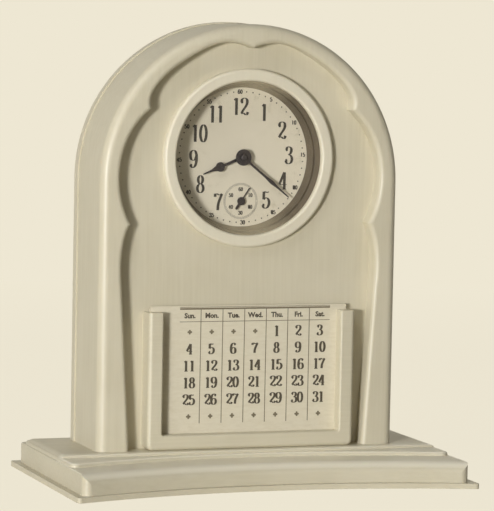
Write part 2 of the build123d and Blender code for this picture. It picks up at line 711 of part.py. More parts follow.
def base_screws():
    screws = [upright(base_screw_profile(), x, y) for x, y in BASE_SCREW_PLACES]
    half_slot = BASE_SCREW_SLOT_WIDTH / 2
    slots = [box(x - BASE_SCREW_HEAD, x + BASE_SCREW_HEAD, y - half_slot, y + half_slot,
                 0, BASE_SCREW_SINK + BASE_SCREW_SLOT_DEPTH)
             for x, y in BASE_SCREW_PLACES]
    return Compound([screw - slot for screw, slot in zip(screws, slots)])


def case_screws():
    return Compound([upright(case_screw_profile(), x, y) for x, y in CASE_SCREW_PLACES])


# ---------------------------------------------------------------- case
def opening_outline():
    """Cusped opening of the front frame, drawn from its foot up the right side and down the left."""
    def above(point):
        return (point[0], PLINTH + point[1])

    head = CASE_HALF - HEAD_MARGIN
    lean = math.radians(HEAD_LEAN)
    head_middle = (head * math.cos(lean), ARCH_Z + head * math.sin(lean))
    jamb_top = (JAMB_HALF, PLINTH + JAMB_TOP)
    rise = (JAMB_HALF - FOOT_HALF, JAMB_TOP)
    jamb = Line((FOOT_HALF, PLINTH), jamb_top)
    shoulder = Spline(jamb_top, above(JAMB_BULGE), above(LOWER_CUSP),
                      tangents=(rise, SHOULDER_END), tangent_scalars=(0.6, 0.6))
    lower_lobe = Spline(above(LOWER_CUSP), above(LOWER_LOBE_RISE), above(LOWER_LOBE),
                        above(LOWER_LOBE_FALL), above(UPPER_CUSP))
    crown = Spline(above(UPPER_CUSP), above(UPPER_LOBE_RISE), above(UPPER_LOBE), head_middle,
                   above(CROWN_LOBE), above(CROWN_LOBE_FALL), (0, PLINTH + CROWN_CUSP))
    right = [jamb, shoulder, lower_lobe, crown]
    left = [mirror(piece, about=Plane.YZ) for piece in right]
    foot = Line((-FOOT_HALF, PLINTH), (FOOT_HALF, PLINTH))
    return outline(*right, *left, foot)


def on_outer_edge(edge):
    """Whether an edge of the frame's face follows the outside of the arch."""
    middle = edge @ 0.5
    reach = math.hypot(middle.X, max(middle.Z - ARCH_Z, 0))
    return reach > CASE_HALF - FACE_ROUND - 0.1


def front_frame():
    run_on = FACE_ROUND * 2
    board = slab(arch(CASE_HALF, PLINTH - run_on), FACE, PANEL)
    front_edges = board.faces().sort_by(Axis.Y)[0].edges()
    board = fillet(front_edges, FACE_ROUND)
    board -= box(-CASE_WIDTH, CASE_WIDTH, FACE - 1, PANEL + 1, PLINTH - 2 * run_on, PLINTH)
    frame = board - slab(opening_outline(), FACE - 1, PANEL + 1)
    inner = [edge for edge in frame.edges().group_by(Axis.Y)[0]
             if (edge @ 0.5).Z > PLINTH + 0.01 and not on_outer_edge(edge)]
    return fillet(inner, OPENING_ROUND)


def case_band():
    return slab(arch(CASE_HALF, PLINTH) - arch(INNER_HALF, PLINTH), PANEL, RIM_FRONT)


def rear_rim():
    run_on = RIM_ROUND * 2
    half = CASE_HALF + RIM_OVERHANG
    rim = slab(arch(half, PLINTH - run_on), RIM_FRONT, CASE_BACK)
    rim = fillet(rim.faces().sort_by(Axis.Y)[-1].edges(), RIM_ROUND)
    rim -= box(-CASE_WIDTH, CASE_WIDTH, RIM_FRONT - 1, CASE_BACK + 1, PLINTH - 2 * run_on, PLINTH)
    return rim - slab(arch(INNER_HALF, PLINTH), RIM_FRONT - 1, CASE_BACK + 1)


def front_panel():
    panel = arch(INNER_HALF - PANEL_CLEARANCE, PLINTH) - Pos(*CENTRE) * Circle(PANEL_HOLE)
    return slab(panel, PANEL, PANEL_BACK)


def clamp_screw_places():
    circle = DRUM_RADIUS + (CLAMP_WIDTH - CLAMP_LAP) / 2
    return [polar(CENTRE, circle, 90 + 360 * index / CLAMP_SCREWS) for index in range(CLAMP_SCREWS)]


def back_panel():
    panel = arch(INNER_HALF - PANEL_CLEARANCE, PLINTH) - Pos(*CENTRE) * Circle(PANEL_HOLE)
    for place in clamp_screw_places():
        panel -= Pos(*place) * Circle(SMALL_SCREW_RADIUS + HOLE_CLEARANCE)
    return slab(panel, BACK_PANEL_FRONT, BACK_FACE)


def case_block():
    half = INNER_HALF - PANEL_CLEARANCE
    wood = box(-half, half, PANEL_BACK, BACK_PANEL_FRONT, PLINTH, PLINTH + BLOCK_HEIGHT)
    return drilled(wood, CASE_SCREW_PLACES, case_screw_profile(HOLE_CLEARANCE))


def bezel_ring():
    outer = RING_INNER + RING_WIDTH
    front = PANEL - RING_HEIGHT
    profile = outline(Polyline((RING_INNER, front), (outer, front), (outer, PANEL),
                               (RING_INNER, PANEL), close=True))
    corners = profile.vertices().group_by(Axis.Y)[0].sort_by(Axis.X)
    profile = fillet(corners[0], RING_INNER_ROUND)
    corners = profile.vertices().sort_by(Axis.X)[-2:].sort_by(Axis.Y)
    profile = fillet(corners[0], RING_OUTER_ROUND)
    return turned(profile)


# ---------------------------------------------------------------- calendar
def calendar_holder():
    left, right = HOLDER_SHIFT - HOLDER_WIDTH / 2, HOLDER_SHIFT + HOLDER_WIDTH / 2
    body = box(left, right, HOLDER_FRONT, PANEL, PLINTH, HOLDER_TOP)
    lower = body.edges().filter_by(Axis.Y).group_by(Axis.Z)[0]
    body = fillet(lower, HOLDER_CORNER)
    front = [edge for edge in body.faces().sort_by(Axis.Y)[0].edges()
             if edge.center().Z < HOLDER_TOP - 0.01]
    body = fillet(front, HOLDER_ROUND)
    window = box(left + HOLDER_MEMBER, right - HOLDER_MEMBER, HOLDER_FRONT - 1, PANEL + 1,
                 PLINTH + HOLDER_BOTTOM_MEMBER, HOLDER_TOP + 1)
    body -= fillet(window.edges().filter_by(Axis.Y).group_by(Axis.Z)[0], WINDOW_ROUND)
    pocket = box(HOLDER_SHIFT - POCKET_HALF, HOLDER_SHIFT + POCKET_HALF, POCKET_FRONT, PANEL + 1,
                 CARD_BOTTOM, HOLDER_TOP + 1)
    body -= pocket
    rim = [edge for edge in body.faces().sort_by(Axis.Y)[0].edges()
           if left + HOLDER_MEMBER - 0.01 < edge.center().X < right - HOLDER_MEMBER + 0.01
           and HOLDER_TOP - 0.01 > edge.center().Z > PLINTH + HOLDER_BOTTOM_MEMBER - 0.01]
    return fillet(rim, WINDOW_ROUND)


def in_holder(half, front, back, top):
    """Sheet that stands on the holder's floor, centred in the holder."""
    return box(HOLDER_SHIFT - half, HOLDER_SHIFT + half, front, back, CARD_BOTTOM, top)


def calendar_card():
    return in_holder(CARD_WIDTH / 2, CARD_FRONT, CARD_BACK, CARD_BOTTOM + CARD_HEIGHT)


def spare_cards():
    return in_holder(CARD_WIDTH / 2, SPARE_FRONT, SPARE_FRONT + SPARE_CARDS_THICKNESS,
                     CARD_BOTTOM + CARD_HEIGHT - SPARE_CARDS_DROP)


def calendar_backing():
    return in_holder(POCKET_HALF, PANEL - BACKING_THICKNESS, PANEL, HOLDER_TOP)


# ---------------------------------------------------------------- drum, bezels, glass and dial
BEZEL_FRONT_DEPTH = PANEL - BEZEL_FRONT
BEZEL_END = DIAL - DIAL_CLEARANCE
BEZEL_OUTER = RING_INNER - BEZEL_GAP
BEZEL_MOUTH = BEZEL_OUTER - BEZEL_LIP


def cone_radius(depth):
    """Inner radius of the conical bezel at a depth."""
    share = (depth - BEZEL_FRONT_DEPTH) / (BEZEL_END - BEZEL_FRONT_DEPTH)
    return BEZEL_MOUTH + (BEZEL_THROAT_RADIUS - BEZEL_MOUTH) * share


CRYSTAL_FRONT = BEZEL_FRONT_DEPTH + CRYSTAL_SETBACK
CRYSTAL_RADIUS = cone_radius(CRYSTAL_FRONT) + GROOVE_DEPTH


def metal_bezel():
    floor = DRUM_FRONT + BEZEL_FLANGE
    groove_front = CRYSTAL_FRONT - GROOVE_CLEARANCE
    groove_back = CRYSTAL_FRONT + CRYSTAL_EDGE + GROOVE_CLEARANCE
    groove = CRYSTAL_RADIUS + GROOVE_CLEARANCE
    return turned([
        (BEZEL_MOUTH, BEZEL_FRONT_DEPTH), (BEZEL_OUTER, BEZEL_FRONT_DEPTH), (BEZEL_OUTER, PANEL),
        (DRUM_RADIUS, PANEL), (DRUM_RADIUS, DRUM_FRONT), (SLEEVE_OUTER, DRUM_FRONT),
        (SLEEVE_OUTER, FRONT_PLATE), (SLEEVE_INNER, FRONT_PLATE), (SLEEVE_INNER, floor),
        (cone_radius(floor) + BEZEL_WALL, floor), (BEZEL_THROAT_RADIUS + BEZEL_WALL, BEZEL_END),
        (BEZEL_THROAT_RADIUS, BEZEL_END), (cone_radius(groove_back), groove_back),
        (groove, groove_back), (groove, groove_front), (cone_radius(groove_front), groove_front)])


def crystal():
    """Domed glass of even thickness, ground flat at its edge."""
    ball = (CRYSTAL_RADIUS ** 2 + CRYSTAL_DOME ** 2) / (2 * CRYSTAL_DOME)
    crown = CRYSTAL_FRONT - CRYSTAL_DOME
    blank = disc(CRYSTAL_RADIUS, crown - 1, CRYSTAL_FRONT + CRYSTAL_EDGE, CENTRE)
    outside = Pos(DIAL_SHIFT, crown + ball, DIAL_Z) * Sphere(ball)
    inside = Pos(DIAL_SHIFT, crown + ball + CRYSTAL_EDGE, DIAL_Z) * Sphere(ball)
    return blank & outside - inside


DIAL_RADIUS = SLEEVE_INNER - DIAL_CLEARANCE
DIAL_FOOT_PLACES = [polar(CENTRE, DIAL_FOOT_CIRCLE, angle) for angle in DIAL_FOOT_ANGLES]


def dial():
    plate = disc(DIAL_RADIUS, DIAL, DIAL_BACK, CENTRE)
    plate -= disc(PIPE_OUTER + DIAL_HOLE_CLEARANCE, DIAL - 1, DIAL_BACK + 1, CENTRE)
    return plate - disc(PIVOT_RADIUS + DIAL_HOLE_CLEARANCE, DIAL - 1, DIAL_BACK + 1, FOURTH)


def dial_feet():
    return Compound([disc(DIAL_FOOT_RADIUS, DIAL_BACK, FRONT_PLATE_BACK + DIAL_FOOT_STANDOUT, place)
                     for place in DIAL_FOOT_PLACES])


LEDGE_INNER = DRUM_INNER - LEDGE_WIDTH
LEDGE_BACK = FRONT_PLATE_BACK + LEDGE_THICKNESS


def movement_can():
    return turned([(DRUM_RADIUS, DRUM_FRONT), (DRUM_RADIUS, BACK_FACE), (DRUM_INNER, BACK_FACE),
                   (DRUM_INNER, LEDGE_BACK), (LEDGE_INNER, LEDGE_BACK),
                   (LEDGE_INNER, FRONT_PLATE_BACK), (DRUM_INNER, FRONT_PLATE_BACK),
                   (DRUM_INNER, DRUM_FRONT)])


def regulator_slot(width):
    """Arc-shaped slot that the regulator's tail sweeps."""
    start, end = REGULATOR_ANGLE - REGULATOR_SWING, REGULATOR_ANGLE + REGULATOR_SWING
    inner, outer = REGULATOR_REACH - width / 2, REGULATOR_REACH + width / 2
    lines = [Line(polar(BALANCE_PLACE, inner, angle), polar(BALANCE_PLACE, outer, angle))
             for angle in (start, end)]
    arcs = [CenterArc(BALANCE_PLACE, radius, start, end - start) for radius in (inner, outer)]
    ends = [Pos(*polar(BALANCE_PLACE, REGULATOR_REACH, angle)) * Circle(width / 2) for angle in (start, end)]
    return outline(*lines, *arcs) + ends


def back_cover():
    cover = Pos(*CENTRE) * Circle(SLEEVE_OUTER)
    cover -= Pos(*CENTRE) * Circle(CENTRE_ARBOR_RADIUS + COVER_HOLE_CLEARANCE)
    cover -= Pos(*GREAT) * Circle(WINDING_ARBOR_RADIUS + COVER_HOLE_CLEARANCE)
    cover -= regulator_slot(TAIL_SLOT)
    return slab(cover, COVER_FRONT, COVER_BACK)


def clamp_ring():
    inner = DRUM_RADIUS - CLAMP_LAP
    shape = Pos(*CENTRE) * (Circle(inner + CLAMP_WIDTH) - Circle(inner))
    for place in clamp_screw_places():
        shape -= Pos(*place) * Circle(SMALL_SCREW_RADIUS + HOLE_CLEARANCE)
    return slab(shape, BACK_FACE, BACK_FACE + CLAMP_THICKNESS)


def clamp_screws():
    seat = BACK_FACE + CLAMP_THICKNESS
    length = CLAMP_THICKNESS + BACK_PANEL_THICKNESS - SMALL_SCREW_TIP_GAP
    return Compound([slotted_screw(seat, length, place) for place in clamp_screw_places()])


# ---------------------------------------------------------------- hands
def hand_blade(angle, points):
    """Symmetrical blade along an angle, from (reach, half-width) points."""
    left = [(reach, half) for reach, half in points]
    right = [(reach, -half) for reach, half in reversed(points)]
    return Pos(*CENTRE) * Rot(0, 0, clock_angle(angle)) * outline(Polyline(*left, *right, close=True))


def minute_hand():
    points = [(share * MINUTE_HAND_LENGTH, half) for share, half in MINUTE_BLADE]
    shape = hand_blade(MINUTE_HAND_ANGLE, points)
    shape += Pos(*CENTRE) * Circle(MINUTE_HUB_RADIUS)
    shape -= Pos(*CENTRE) * Circle(CANNON_OUTER + PRESSED_FIT)
    return slab(shape, MINUTE_HAND_BACK - HAND_THICKNESS, MINUTE_HAND_BACK)


def hour_hand():
    shape = hand_blade(HOUR_HAND_ANGLE, [
        (0, HOUR_ARM[0]), (SPADE_PLACE, HOUR_ARM[1]), (SPADE_PLACE + HOUR_TIP_SWELL[0], HOUR_TIP_SWELL[1]),
        (SPADE_PLACE + HOUR_TIP_WAIST[0], HOUR_TIP_WAIST[1]), (HOUR_HAND_LENGTH, HAND_TIP_HALF)])
    shape += Pos(*polar(CENTRE, SPADE_PLACE, clock_angle(HOUR_HAND_ANGLE))) * Circle(SPADE_RADIUS)
    shape += Pos(*CENTRE) * Circle(HOUR_HUB_RADIUS)
    shape -= Pos(*CENTRE) * Circle(PIPE_OUTER + PRESSED_FIT)
    return slab(shape, HOUR_HAND_BACK - HAND_THICKNESS, HOUR_HAND_BACK)


def seconds_hand():
    angle = clock_angle(SECONDS_HAND_ANGLE)
    tail_end = polar(FOURTH, -SECONDS_HAND_TAIL, angle)
    shape = link(polar(FOURTH, SECONDS_HAND_LENGTH, angle), tail_end, SECONDS_HAND_WIDTH)
    shape += link(tail_end, polar(FOURTH, -SECONDS_TAIL_START, angle), SECONDS_TAIL_WIDTH)
    hand = slab(shape, SECONDS_HAND_BACK - HAND_THICKNESS, SECONDS_HAND_BACK)
    hand += disc(SECONDS_HUB_RADIUS, SECONDS_HAND_BACK - SECONDS_HUB_HEIGHT, SECONDS_HAND_BACK, FOURTH)
    bore_end = SECONDS_HAND_BACK - SECONDS_BORE_DEPTH
    return hand - disc(PIVOT_RADIUS + PRESSED_FIT, bore_end, SECONDS_HAND_BACK + 1, FOURTH)


def centre_cap():
    cap = disc(CAP_RADIUS, CANNON_FRONT - CAP_HEIGHT, CANNON_FRONT, CENTRE)
    return fillet(cap.edges().sort_by(Axis.Y)[0], CAP_ROUND)


# ---------------------------------------------------------------- plates
PIVOT_PLACES = (THIRD, FOURTH, ESCAPE, PALLET, BALANCE_PLACE)
BOSS_FRONT = FRONT_PLATE_BACK + REGULATOR[0] - BOSS_RISE


def pillar_places():
    return [polar(CENTRE, PILLAR_CIRCLE, angle) for angle in PILLAR_ANGLES]


def bored(shape, radius, places):
    """Take round holes out of a flat outline."""
    for place in places:
        shape -= Pos(*place) * Circle(radius)
    return shape


def front_plate():
    shape = Pos(*CENTRE) * Circle(SLEEVE_OUTER)
    shape = bored(shape, PIVOT_RADIUS + RUNNING_FIT, PIVOT_PLACES)
    shape = bored(shape, CENTRE_ARBOR_RADIUS + RUNNING_FIT, (CENTRE,))
    shape = bored(shape, WINDING_PIVOT_RADIUS + RUNNING_FIT, (GREAT,))
    shape = bored(shape, DIAL_FOOT_RADIUS + HOLE_CLEARANCE, DIAL_FOOT_PLACES)
    return slab(shape, FRONT_PLATE, FRONT_PLATE_BACK)


def back_plate():
    shape = Pos(*CENTRE) * Circle(PLATE_RADIUS)
    shape = bored(shape, PIVOT_RADIUS + RUNNING_FIT, PIVOT_PLACES)
    shape = bored(shape, CENTRE_ARBOR_RADIUS + RUNNING_FIT, (CENTRE,))
    shape = bored(shape, WINDING_ARBOR_RADIUS + RUNNING_FIT, (GREAT,))
    shape = bored(shape, STUD_RADIUS + HOLE_CLEARANCE, pillar_places())
    plate = slab(shape - regulator_slot(TAIL_SLOT), BACK_PLATE, BACK_PLATE_BACK)
    return plate + ring(BOSS_RADIUS, PIVOT_RADIUS + RUNNING_FIT, BOSS_FRONT, BACK_PLATE, BALANCE_PLACE)


def plate_pillars():
    return Compound([stepped(place, FRONT_PLATE_BACK, (PILLAR_RADIUS, BACK_PLATE),
                             (STUD_RADIUS, BACK_PLATE_BACK + NUT_HEIGHT)) for place in pillar_places()])


def pillar_nuts():
    shape = RegularPolygon(NUT_RADIUS, 6) - Circle(STUD_RADIUS + PRESSED_FIT)
    return Compound([slab(Pos(*place) * shape, BACK_PLATE_BACK, BACK_PLATE_BACK + NUT_HEIGHT)
                     for place in pillar_places()])


# ---------------------------------------------------------------- going train
SHOULDER_FRONT = FRONT_PLATE_BACK + END_SHAKE
SHOULDER_BACK = BACK_PLATE - END_SHAKE
PIVOT_FRONT = FRONT_PLATE + PIVOT_STANDIN
PIVOT_BACK = BACK_PLATE_BACK - PIVOT_STANDIN


def plain_arbor(place, radius=ARBOR_RADIUS, pivot_front=PIVOT_FRONT):
    """Arbor with a pivot in each plate."""
    return stepped(place, pivot_front, (PIVOT_RADIUS, SHOULDER_FRONT), (radius, SHOULDER_BACK),
                   (PIVOT_RADIUS, PIVOT_BACK))


def centre_wheel():
    return toothed(CENTRE_TEETH, MODULE, CENTRE_WHEEL, FRONT_PLATE_BACK, CENTRE, heading(CENTRE, THIRD),
                   hub=CENTRE_HUB_RADIUS, bore=CENTRE_COLLAR_RADIUS + PRESSED_FIT)


def centre_arbor():
    back_end = KNOB_BACK - KNOB_CAP - END_GAP
    shaft = stepped(CENTRE, CANNON_FRONT, (CENTRE_ARBOR_RADIUS, SHOULDER_FRONT),
                    (CENTRE_COLLAR_RADIUS, SHOULDER_BACK), (CENTRE_ARBOR_RADIUS, back_end))
    pinion = toothed(CENTRE_PINION_TEETH, MODULE, CENTRE_PINION, FRONT_PLATE_BACK, CENTRE,
                     heading(CENTRE, GREAT), space=True)
    return shaft + pinion


def third_wheel():
    pinion = toothed(PINION_TEETH, MODULE, THIRD_PINION, FRONT_PLATE_BACK, THIRD,
                     heading(THIRD, CENTRE), space=True)
    wheel = toothed(THIRD_TEETH, MODULE, THIRD_WHEEL, FRONT_PLATE_BACK, THIRD,
                    heading(THIRD, FOURTH), hub=HUB_RADIUS)
    return plain_arbor(THIRD) + pinion + wheel


def fourth_wheel():
    pinion = toothed(PINION_TEETH, MODULE, FOURTH_PINION, FRONT_PLATE_BACK, FOURTH,
                     heading(FOURTH, THIRD), space=True)
    wheel = toothed(FOURTH_TEETH, FINE_MODULE, FOURTH_WHEEL, FRONT_PLATE_BACK, FOURTH,
                    heading(FOURTH, ESCAPE), hub=HUB_RADIUS)
    return plain_arbor(FOURTH, pivot_front=SECONDS_HAND_BACK - HAND_THICKNESS) + pinion + wheel


def escape_wheel():
    root = ESCAPE_RADIUS - ESCAPE_TOOTH
    front_root, heel, back_root = ESCAPE_TOOTH_ANGLES
    points = []
    for tooth in range(ESCAPE_TEETH):
        angle = 360 * tooth / ESCAPE_TEETH
        points += [polar((0, 0), root, angle + front_root), polar((0, 0), ESCAPE_RADIUS, angle),
                   polar((0, 0), ESCAPE_RADIUS, angle + heel), polar((0, 0), root, angle + back_root)]
    shape = outline(Polyline(*points, close=True))
    shape -= windows(root - ESCAPE_RIM, ESCAPE_HUB_RADIUS, 4, ESCAPE_ARM_WIDTH)
    wheel = slab(Pos(*ESCAPE) * shape, *level(FRONT_PLATE_BACK, ESCAPE_WHEEL))
    pinion = toothed(ESCAPE_PINION_TEETH, FINE_MODULE, ESCAPE_PINION, FRONT_PLATE_BACK, ESCAPE,
                     heading(ESCAPE, FOURTH), space=True)
    return plain_arbor(ESCAPE, ESCAPE_ARBOR_RADIUS) + pinion + wheel


# ---------------------------------------------------------------- escapement and balance
def pallet_lever():
    """Anchor with two pallets astride the escape wheel and a fork toward the balance."""
    line = heading(ESCAPE, BALANCE_PLACE)
    fork_root = polar(BALANCE_PLACE, -FORK_ROOT, line)
    shape = link(PALLET, fork_root, FORK_WIDTH)
    for side in (-1, 1):
        elbow = polar(ESCAPE, ESCAPE_RADIUS + PALLET_ELBOW[0], line + side * PALLET_ELBOW[1])
        tip = polar(ESCAPE, ESCAPE_RADIUS + PALLET_TIP[0], line + side * PALLET_TIP[1])
        shape += link(PALLET, elbow, PALLET_ARM_WIDTH) + link(elbow, tip, PALLET_TIP_WIDTH)
        horn = polar(BALANCE_PLACE, -FORK_HORN[0], line + side * FORK_HORN[1])
        shape += link(fork_root, horn, FORK_HORN_WIDTH)
    shape += Pos(*PALLET) * Circle(PALLET_HUB_RADIUS)
    return plain_arbor(PALLET) + slab(shape, *level(FRONT_PLATE_BACK, PALLETS))


def balance_wheel():
    openings = windows(BALANCE_RADIUS - BALANCE_RIM, BALANCE_HUB_RADIUS, 2, BALANCE_ARM_WIDTH)
    rim = Circle(BALANCE_RADIUS) - openings
    wheel = slab(Pos(*BALANCE_PLACE) * rim, *level(FRONT_PLATE_BACK, BALANCE))
    collet = FRONT_PLATE_BACK + HAIRSPRING_START
    staff = stepped(BALANCE_PLACE, PIVOT_FRONT, (PIVOT_RADIUS, SHOULDER_FRONT),
                    (ARBOR_RADIUS, FRONT_PLATE_BACK + PALLETS[0]),
                    (ROLLER_RADIUS, FRONT_PLATE_BACK + PALLETS[0] + PALLETS[1]), (ARBOR_RADIUS, collet),
                    (COLLET_RADIUS, collet + HAIRSPRING_HEIGHT), (ARBOR_RADIUS, BOSS_FRONT - END_SHAKE),
                    (PIVOT_RADIUS, PIVOT_BACK))
    return staff + wheel


def hairspring():
    start = FRONT_PLATE_BACK + HAIRSPRING_START
    coil = strip_spiral(HAIRSPRING_INNER_RADIUS, HAIRSPRING_RADIUS, HAIRSPRING_TURNS, HAIRSPRING_STRIP)
    return slab(Pos(*BALANCE_PLACE) * Rot(0, 0, BALANCE_ANGLE) * coil, start, start + HAIRSPRING_HEIGHT)


def hairspring_stud():
    reach = HAIRSPRING_RADIUS + HAIRSPRING_STUD_GAP + HAIRSPRING_STUD_RADIUS
    front = FRONT_PLATE_BACK + HAIRSPRING_START - HAIRSPRING_STUD_RISE
    return disc(HAIRSPRING_STUD_RADIUS, front, BACK_PLATE, polar(BALANCE_PLACE, reach, BALANCE_ANGLE))


def regulator_lever():
    tail = polar(BALANCE_PLACE, REGULATOR_REACH, REGULATOR_ANGLE)
    arm = Pos(*BALANCE_PLACE) * Circle(BOSS_RADIUS + REGULATOR_HUB) + link(BALANCE_PLACE, tail, TAIL_WIDTH)
    arm -= Pos(*BALANCE_PLACE) * Circle(BOSS_RADIUS + RUNNING_FIT)
    front, back = level(FRONT_PLATE_BACK, REGULATOR)
    return slab(arm, front, back) + disc(TAIL_RADIUS, back, COVER_BACK + TAIL_STANDOUT, tail)


# ---------------------------------------------------------------- power
KNOB_FRONT = BACK_FACE + CLAMP_THICKNESS
KNOB_BACK = KNOB_FRONT + KNOB_HEIGHT
CLICK_BACK = FRONT_PLATE_BACK + CLICK_LAYER[0] + CLICK_LAYER[1]


def great_offset(x, z):
    """Point given from the great wheel's centre."""
    return (GREAT[0] + x, GREAT[1] + z)


CLICK_PIVOT = great_offset(0, CLICK_CIRCLE)


def great_wheel():
    wheel = toothed(GREAT_TEETH, MODULE, GREAT_WHEEL, FRONT_PLATE_BACK, GREAT, heading(GREAT, CENTRE),
                    bore=WINDING_ARBOR_RADIUS + RUNNING_FIT)
    back = level(FRONT_PLATE_BACK, GREAT_WHEEL)[1]
    return wheel + disc(CLICK_PIN_RADIUS, back, CLICK_BACK + CLICK_PIN_STANDOUT, CLICK_PIVOT)


def click():
    shape = Pos(*CLICK_PIVOT) * Circle(CLICK_HUB_RADIUS)
    for end in (CLICK_NOSE, CLICK_TAIL):
        shape += link(CLICK_PIVOT, great_offset(*end), CLICK_WIDTH)
    shape -= Pos(*CLICK_PIVOT) * Circle(CLICK_PIN_RADIUS + RUNNING_FIT)
    return slab(shape, *level(FRONT_PLATE_BACK, CLICK_LAYER))


def click_spring():
    post = great_offset(*CLICK_SPRING_POST)
    shape = link(post, great_offset(*CLICK_SPRING_TIP), CLICK_SPRING_WIDTH)
    shape += Pos(*post) * Circle(CLICK_SPRING_POST_RADIUS)
    return slab(shape, level(FRONT_PLATE_BACK, GREAT_WHEEL)[1], CLICK_BACK)


def ratchet_wheel():
    points = []
    for tooth in range(RATCHET_TEETH):
        angle = 360 * tooth / RATCHET_TEETH
        points += [polar((0, 0), RATCHET_RADIUS - RATCHET_TOOTH, angle),
                   polar((0, 0), RATCHET_RADIUS, angle + RATCHET_RAKE)]
    shape = outline(Polyline(*points, close=True)) - Circle(WINDING_ARBOR_RADIUS + PRESSED_FIT)
    return slab(Pos(*GREAT) * shape, *level(FRONT_PLATE_BACK, RATCHET))


def winding_arbor():
    return stepped(GREAT, PIVOT_FRONT, (WINDING_PIVOT_RADIUS, SHOULDER_FRONT),
                   (WINDING_ARBOR_RADIUS, KNOB_FRONT + KEY_HUB_HEIGHT - KEY_CAP - END_GAP))


def mainspring():
    start = FRONT_PLATE_BACK + MAINSPRING_START
    coil = strip_spiral(WINDING_ARBOR_RADIUS + SPRING_CLEARANCE, MAINSPRING_RADIUS, MAINSPRING_TURNS,
                        MAINSPRING_STRIP)
    return slab(Pos(*GREAT) * Rot(0, 0, GREAT_ANGLE) * coil, start, start + MAINSPRING_HEIGHT)


def mainspring_post():
    reach = MAINSPRING_RADIUS + MAINSPRING_POST_GAP + MAINSPRING_POST_RADIUS
    back = FRONT_PLATE_BACK + MAINSPRING_START + MAINSPRING_HEIGHT
    return disc(MAINSPRING_POST_RADIUS, FRONT_PLATE_BACK, back, polar(GREAT, reach, GREAT_ANGLE))


def winding_key():
    """Thumb key with a round hub and two round wings."""
    hub_back = KNOB_FRONT + KEY_HUB_HEIGHT
    hub = disc(KEY_HUB_RADIUS, KNOB_FRONT, hub_back, GREAT)
    hub -= disc(WINDING_ARBOR_RADIUS + PRESSED_FIT, KNOB_FRONT - 1, hub_back - KEY_CAP, GREAT)
    wing_y = hub_back + KEY_WING_RADIUS - KEY_WING_LAP
    reach = KEY_SPAN - KEY_WING_RADIUS
    wings = Pos(GREAT[0], wing_y) * Rectangle(2 * reach, KEY_WING_RADIUS)
    for side in (-1, 1):
        wings += Pos(GREAT[0] + side * reach, wing_y) * Circle(KEY_WING_RADIUS)
        wings -= Pos(GREAT[0] + side * reach, wing_y) * Circle(KEY_WING_RADIUS * KEY_WING_HOLE)
    stem_length = wing_y - hub_back + 2 * KEY_STEM_LAP
    stem = Pos(GREAT[0], (hub_back + wing_y) / 2) * Rectangle(KEY_STEM_WIDTH, stem_length)
    return hub + block(wings + stem, GREAT[1] - KEY_THICKNESS / 2, GREAT[1] + KEY_THICKNESS / 2)


def set_knob():
    rim = Circle(KNOB_RADIUS)
    for groove in range(KNOB_GROOVES):
        turn = Rot(0, 0, 360 * groove / KNOB_GROOVES)
        rim -= turn * Pos(KNOB_RADIUS + KNOB_GROOVE_OFFSET, 0) * Circle(KNOB_GROOVE_RADIUS)
    neck_back = KNOB_FRONT + KNOB_NECK_HEIGHT
    knob = slab(Pos(*CENTRE) * rim, neck_back, KNOB_BACK)
    knob += disc(KNOB_NECK_RADIUS, KNOB_FRONT, neck_back, CENTRE)
    return knob - disc(CENTRE_ARBOR_RADIUS + PRESSED_FIT, KNOB_FRONT - 1, KNOB_BACK - KNOB_CAP, CENTRE)


# ---------------------------------------------------------------- motion work
def cannon_pinion():
    pipe = ring(CANNON_OUTER, CANNON_INNER, CANNON_FRONT, level(DIAL_BACK, CANNON_LEAVES)[1], CENTRE)
    leaves = toothed(CANNON_TEETH, MOTION_MODULE, CANNON_LEAVES, DIAL_BACK, CENTRE,
                     heading(CENTRE, MINUTE_POST), bore=CANNON_INNER)
    return pipe + leaves


def minute_wheel():
    bore = MINUTE_POST_RADIUS + RUNNING_FIT
    wheel = toothed(MINUTE_WHEEL_TEETH, MOTION_MODULE, MINUTE_WHEEL, DIAL_BACK, MINUTE_POST,
                    heading(MINUTE_POST, CENTRE), space=True, bore=bore)
    pinion = toothed(MINUTE_PINION_TEETH, HOUR_MODULE, MINUTE_PINION, DIAL_BACK, MINUTE_POST,
                     heading(MINUTE_POST, CENTRE), bore=bore)
    return wheel + pinion


def minute_wheel_post():
    return disc(MINUTE_POST_RADIUS, DIAL_BACK + MINUTE_POST_FRONT, FRONT_PLATE, MINUTE_POST)


def hour_wheel():
    wheel = toothed(HOUR_TEETH, HOUR_MODULE, HOUR_WHEEL, DIAL_BACK, CENTRE, heading(CENTRE, MINUTE_POST),
                    space=True, bore=PIPE_INNER)
    return wheel + ring(PIPE_OUTER, PIPE_INNER, HOUR_HAND_BACK - HAND_THICKNESS - HOUR_PIPE_RISE,
                        level(DIAL_BACK, HOUR_WHEEL)[1], CENTRE)


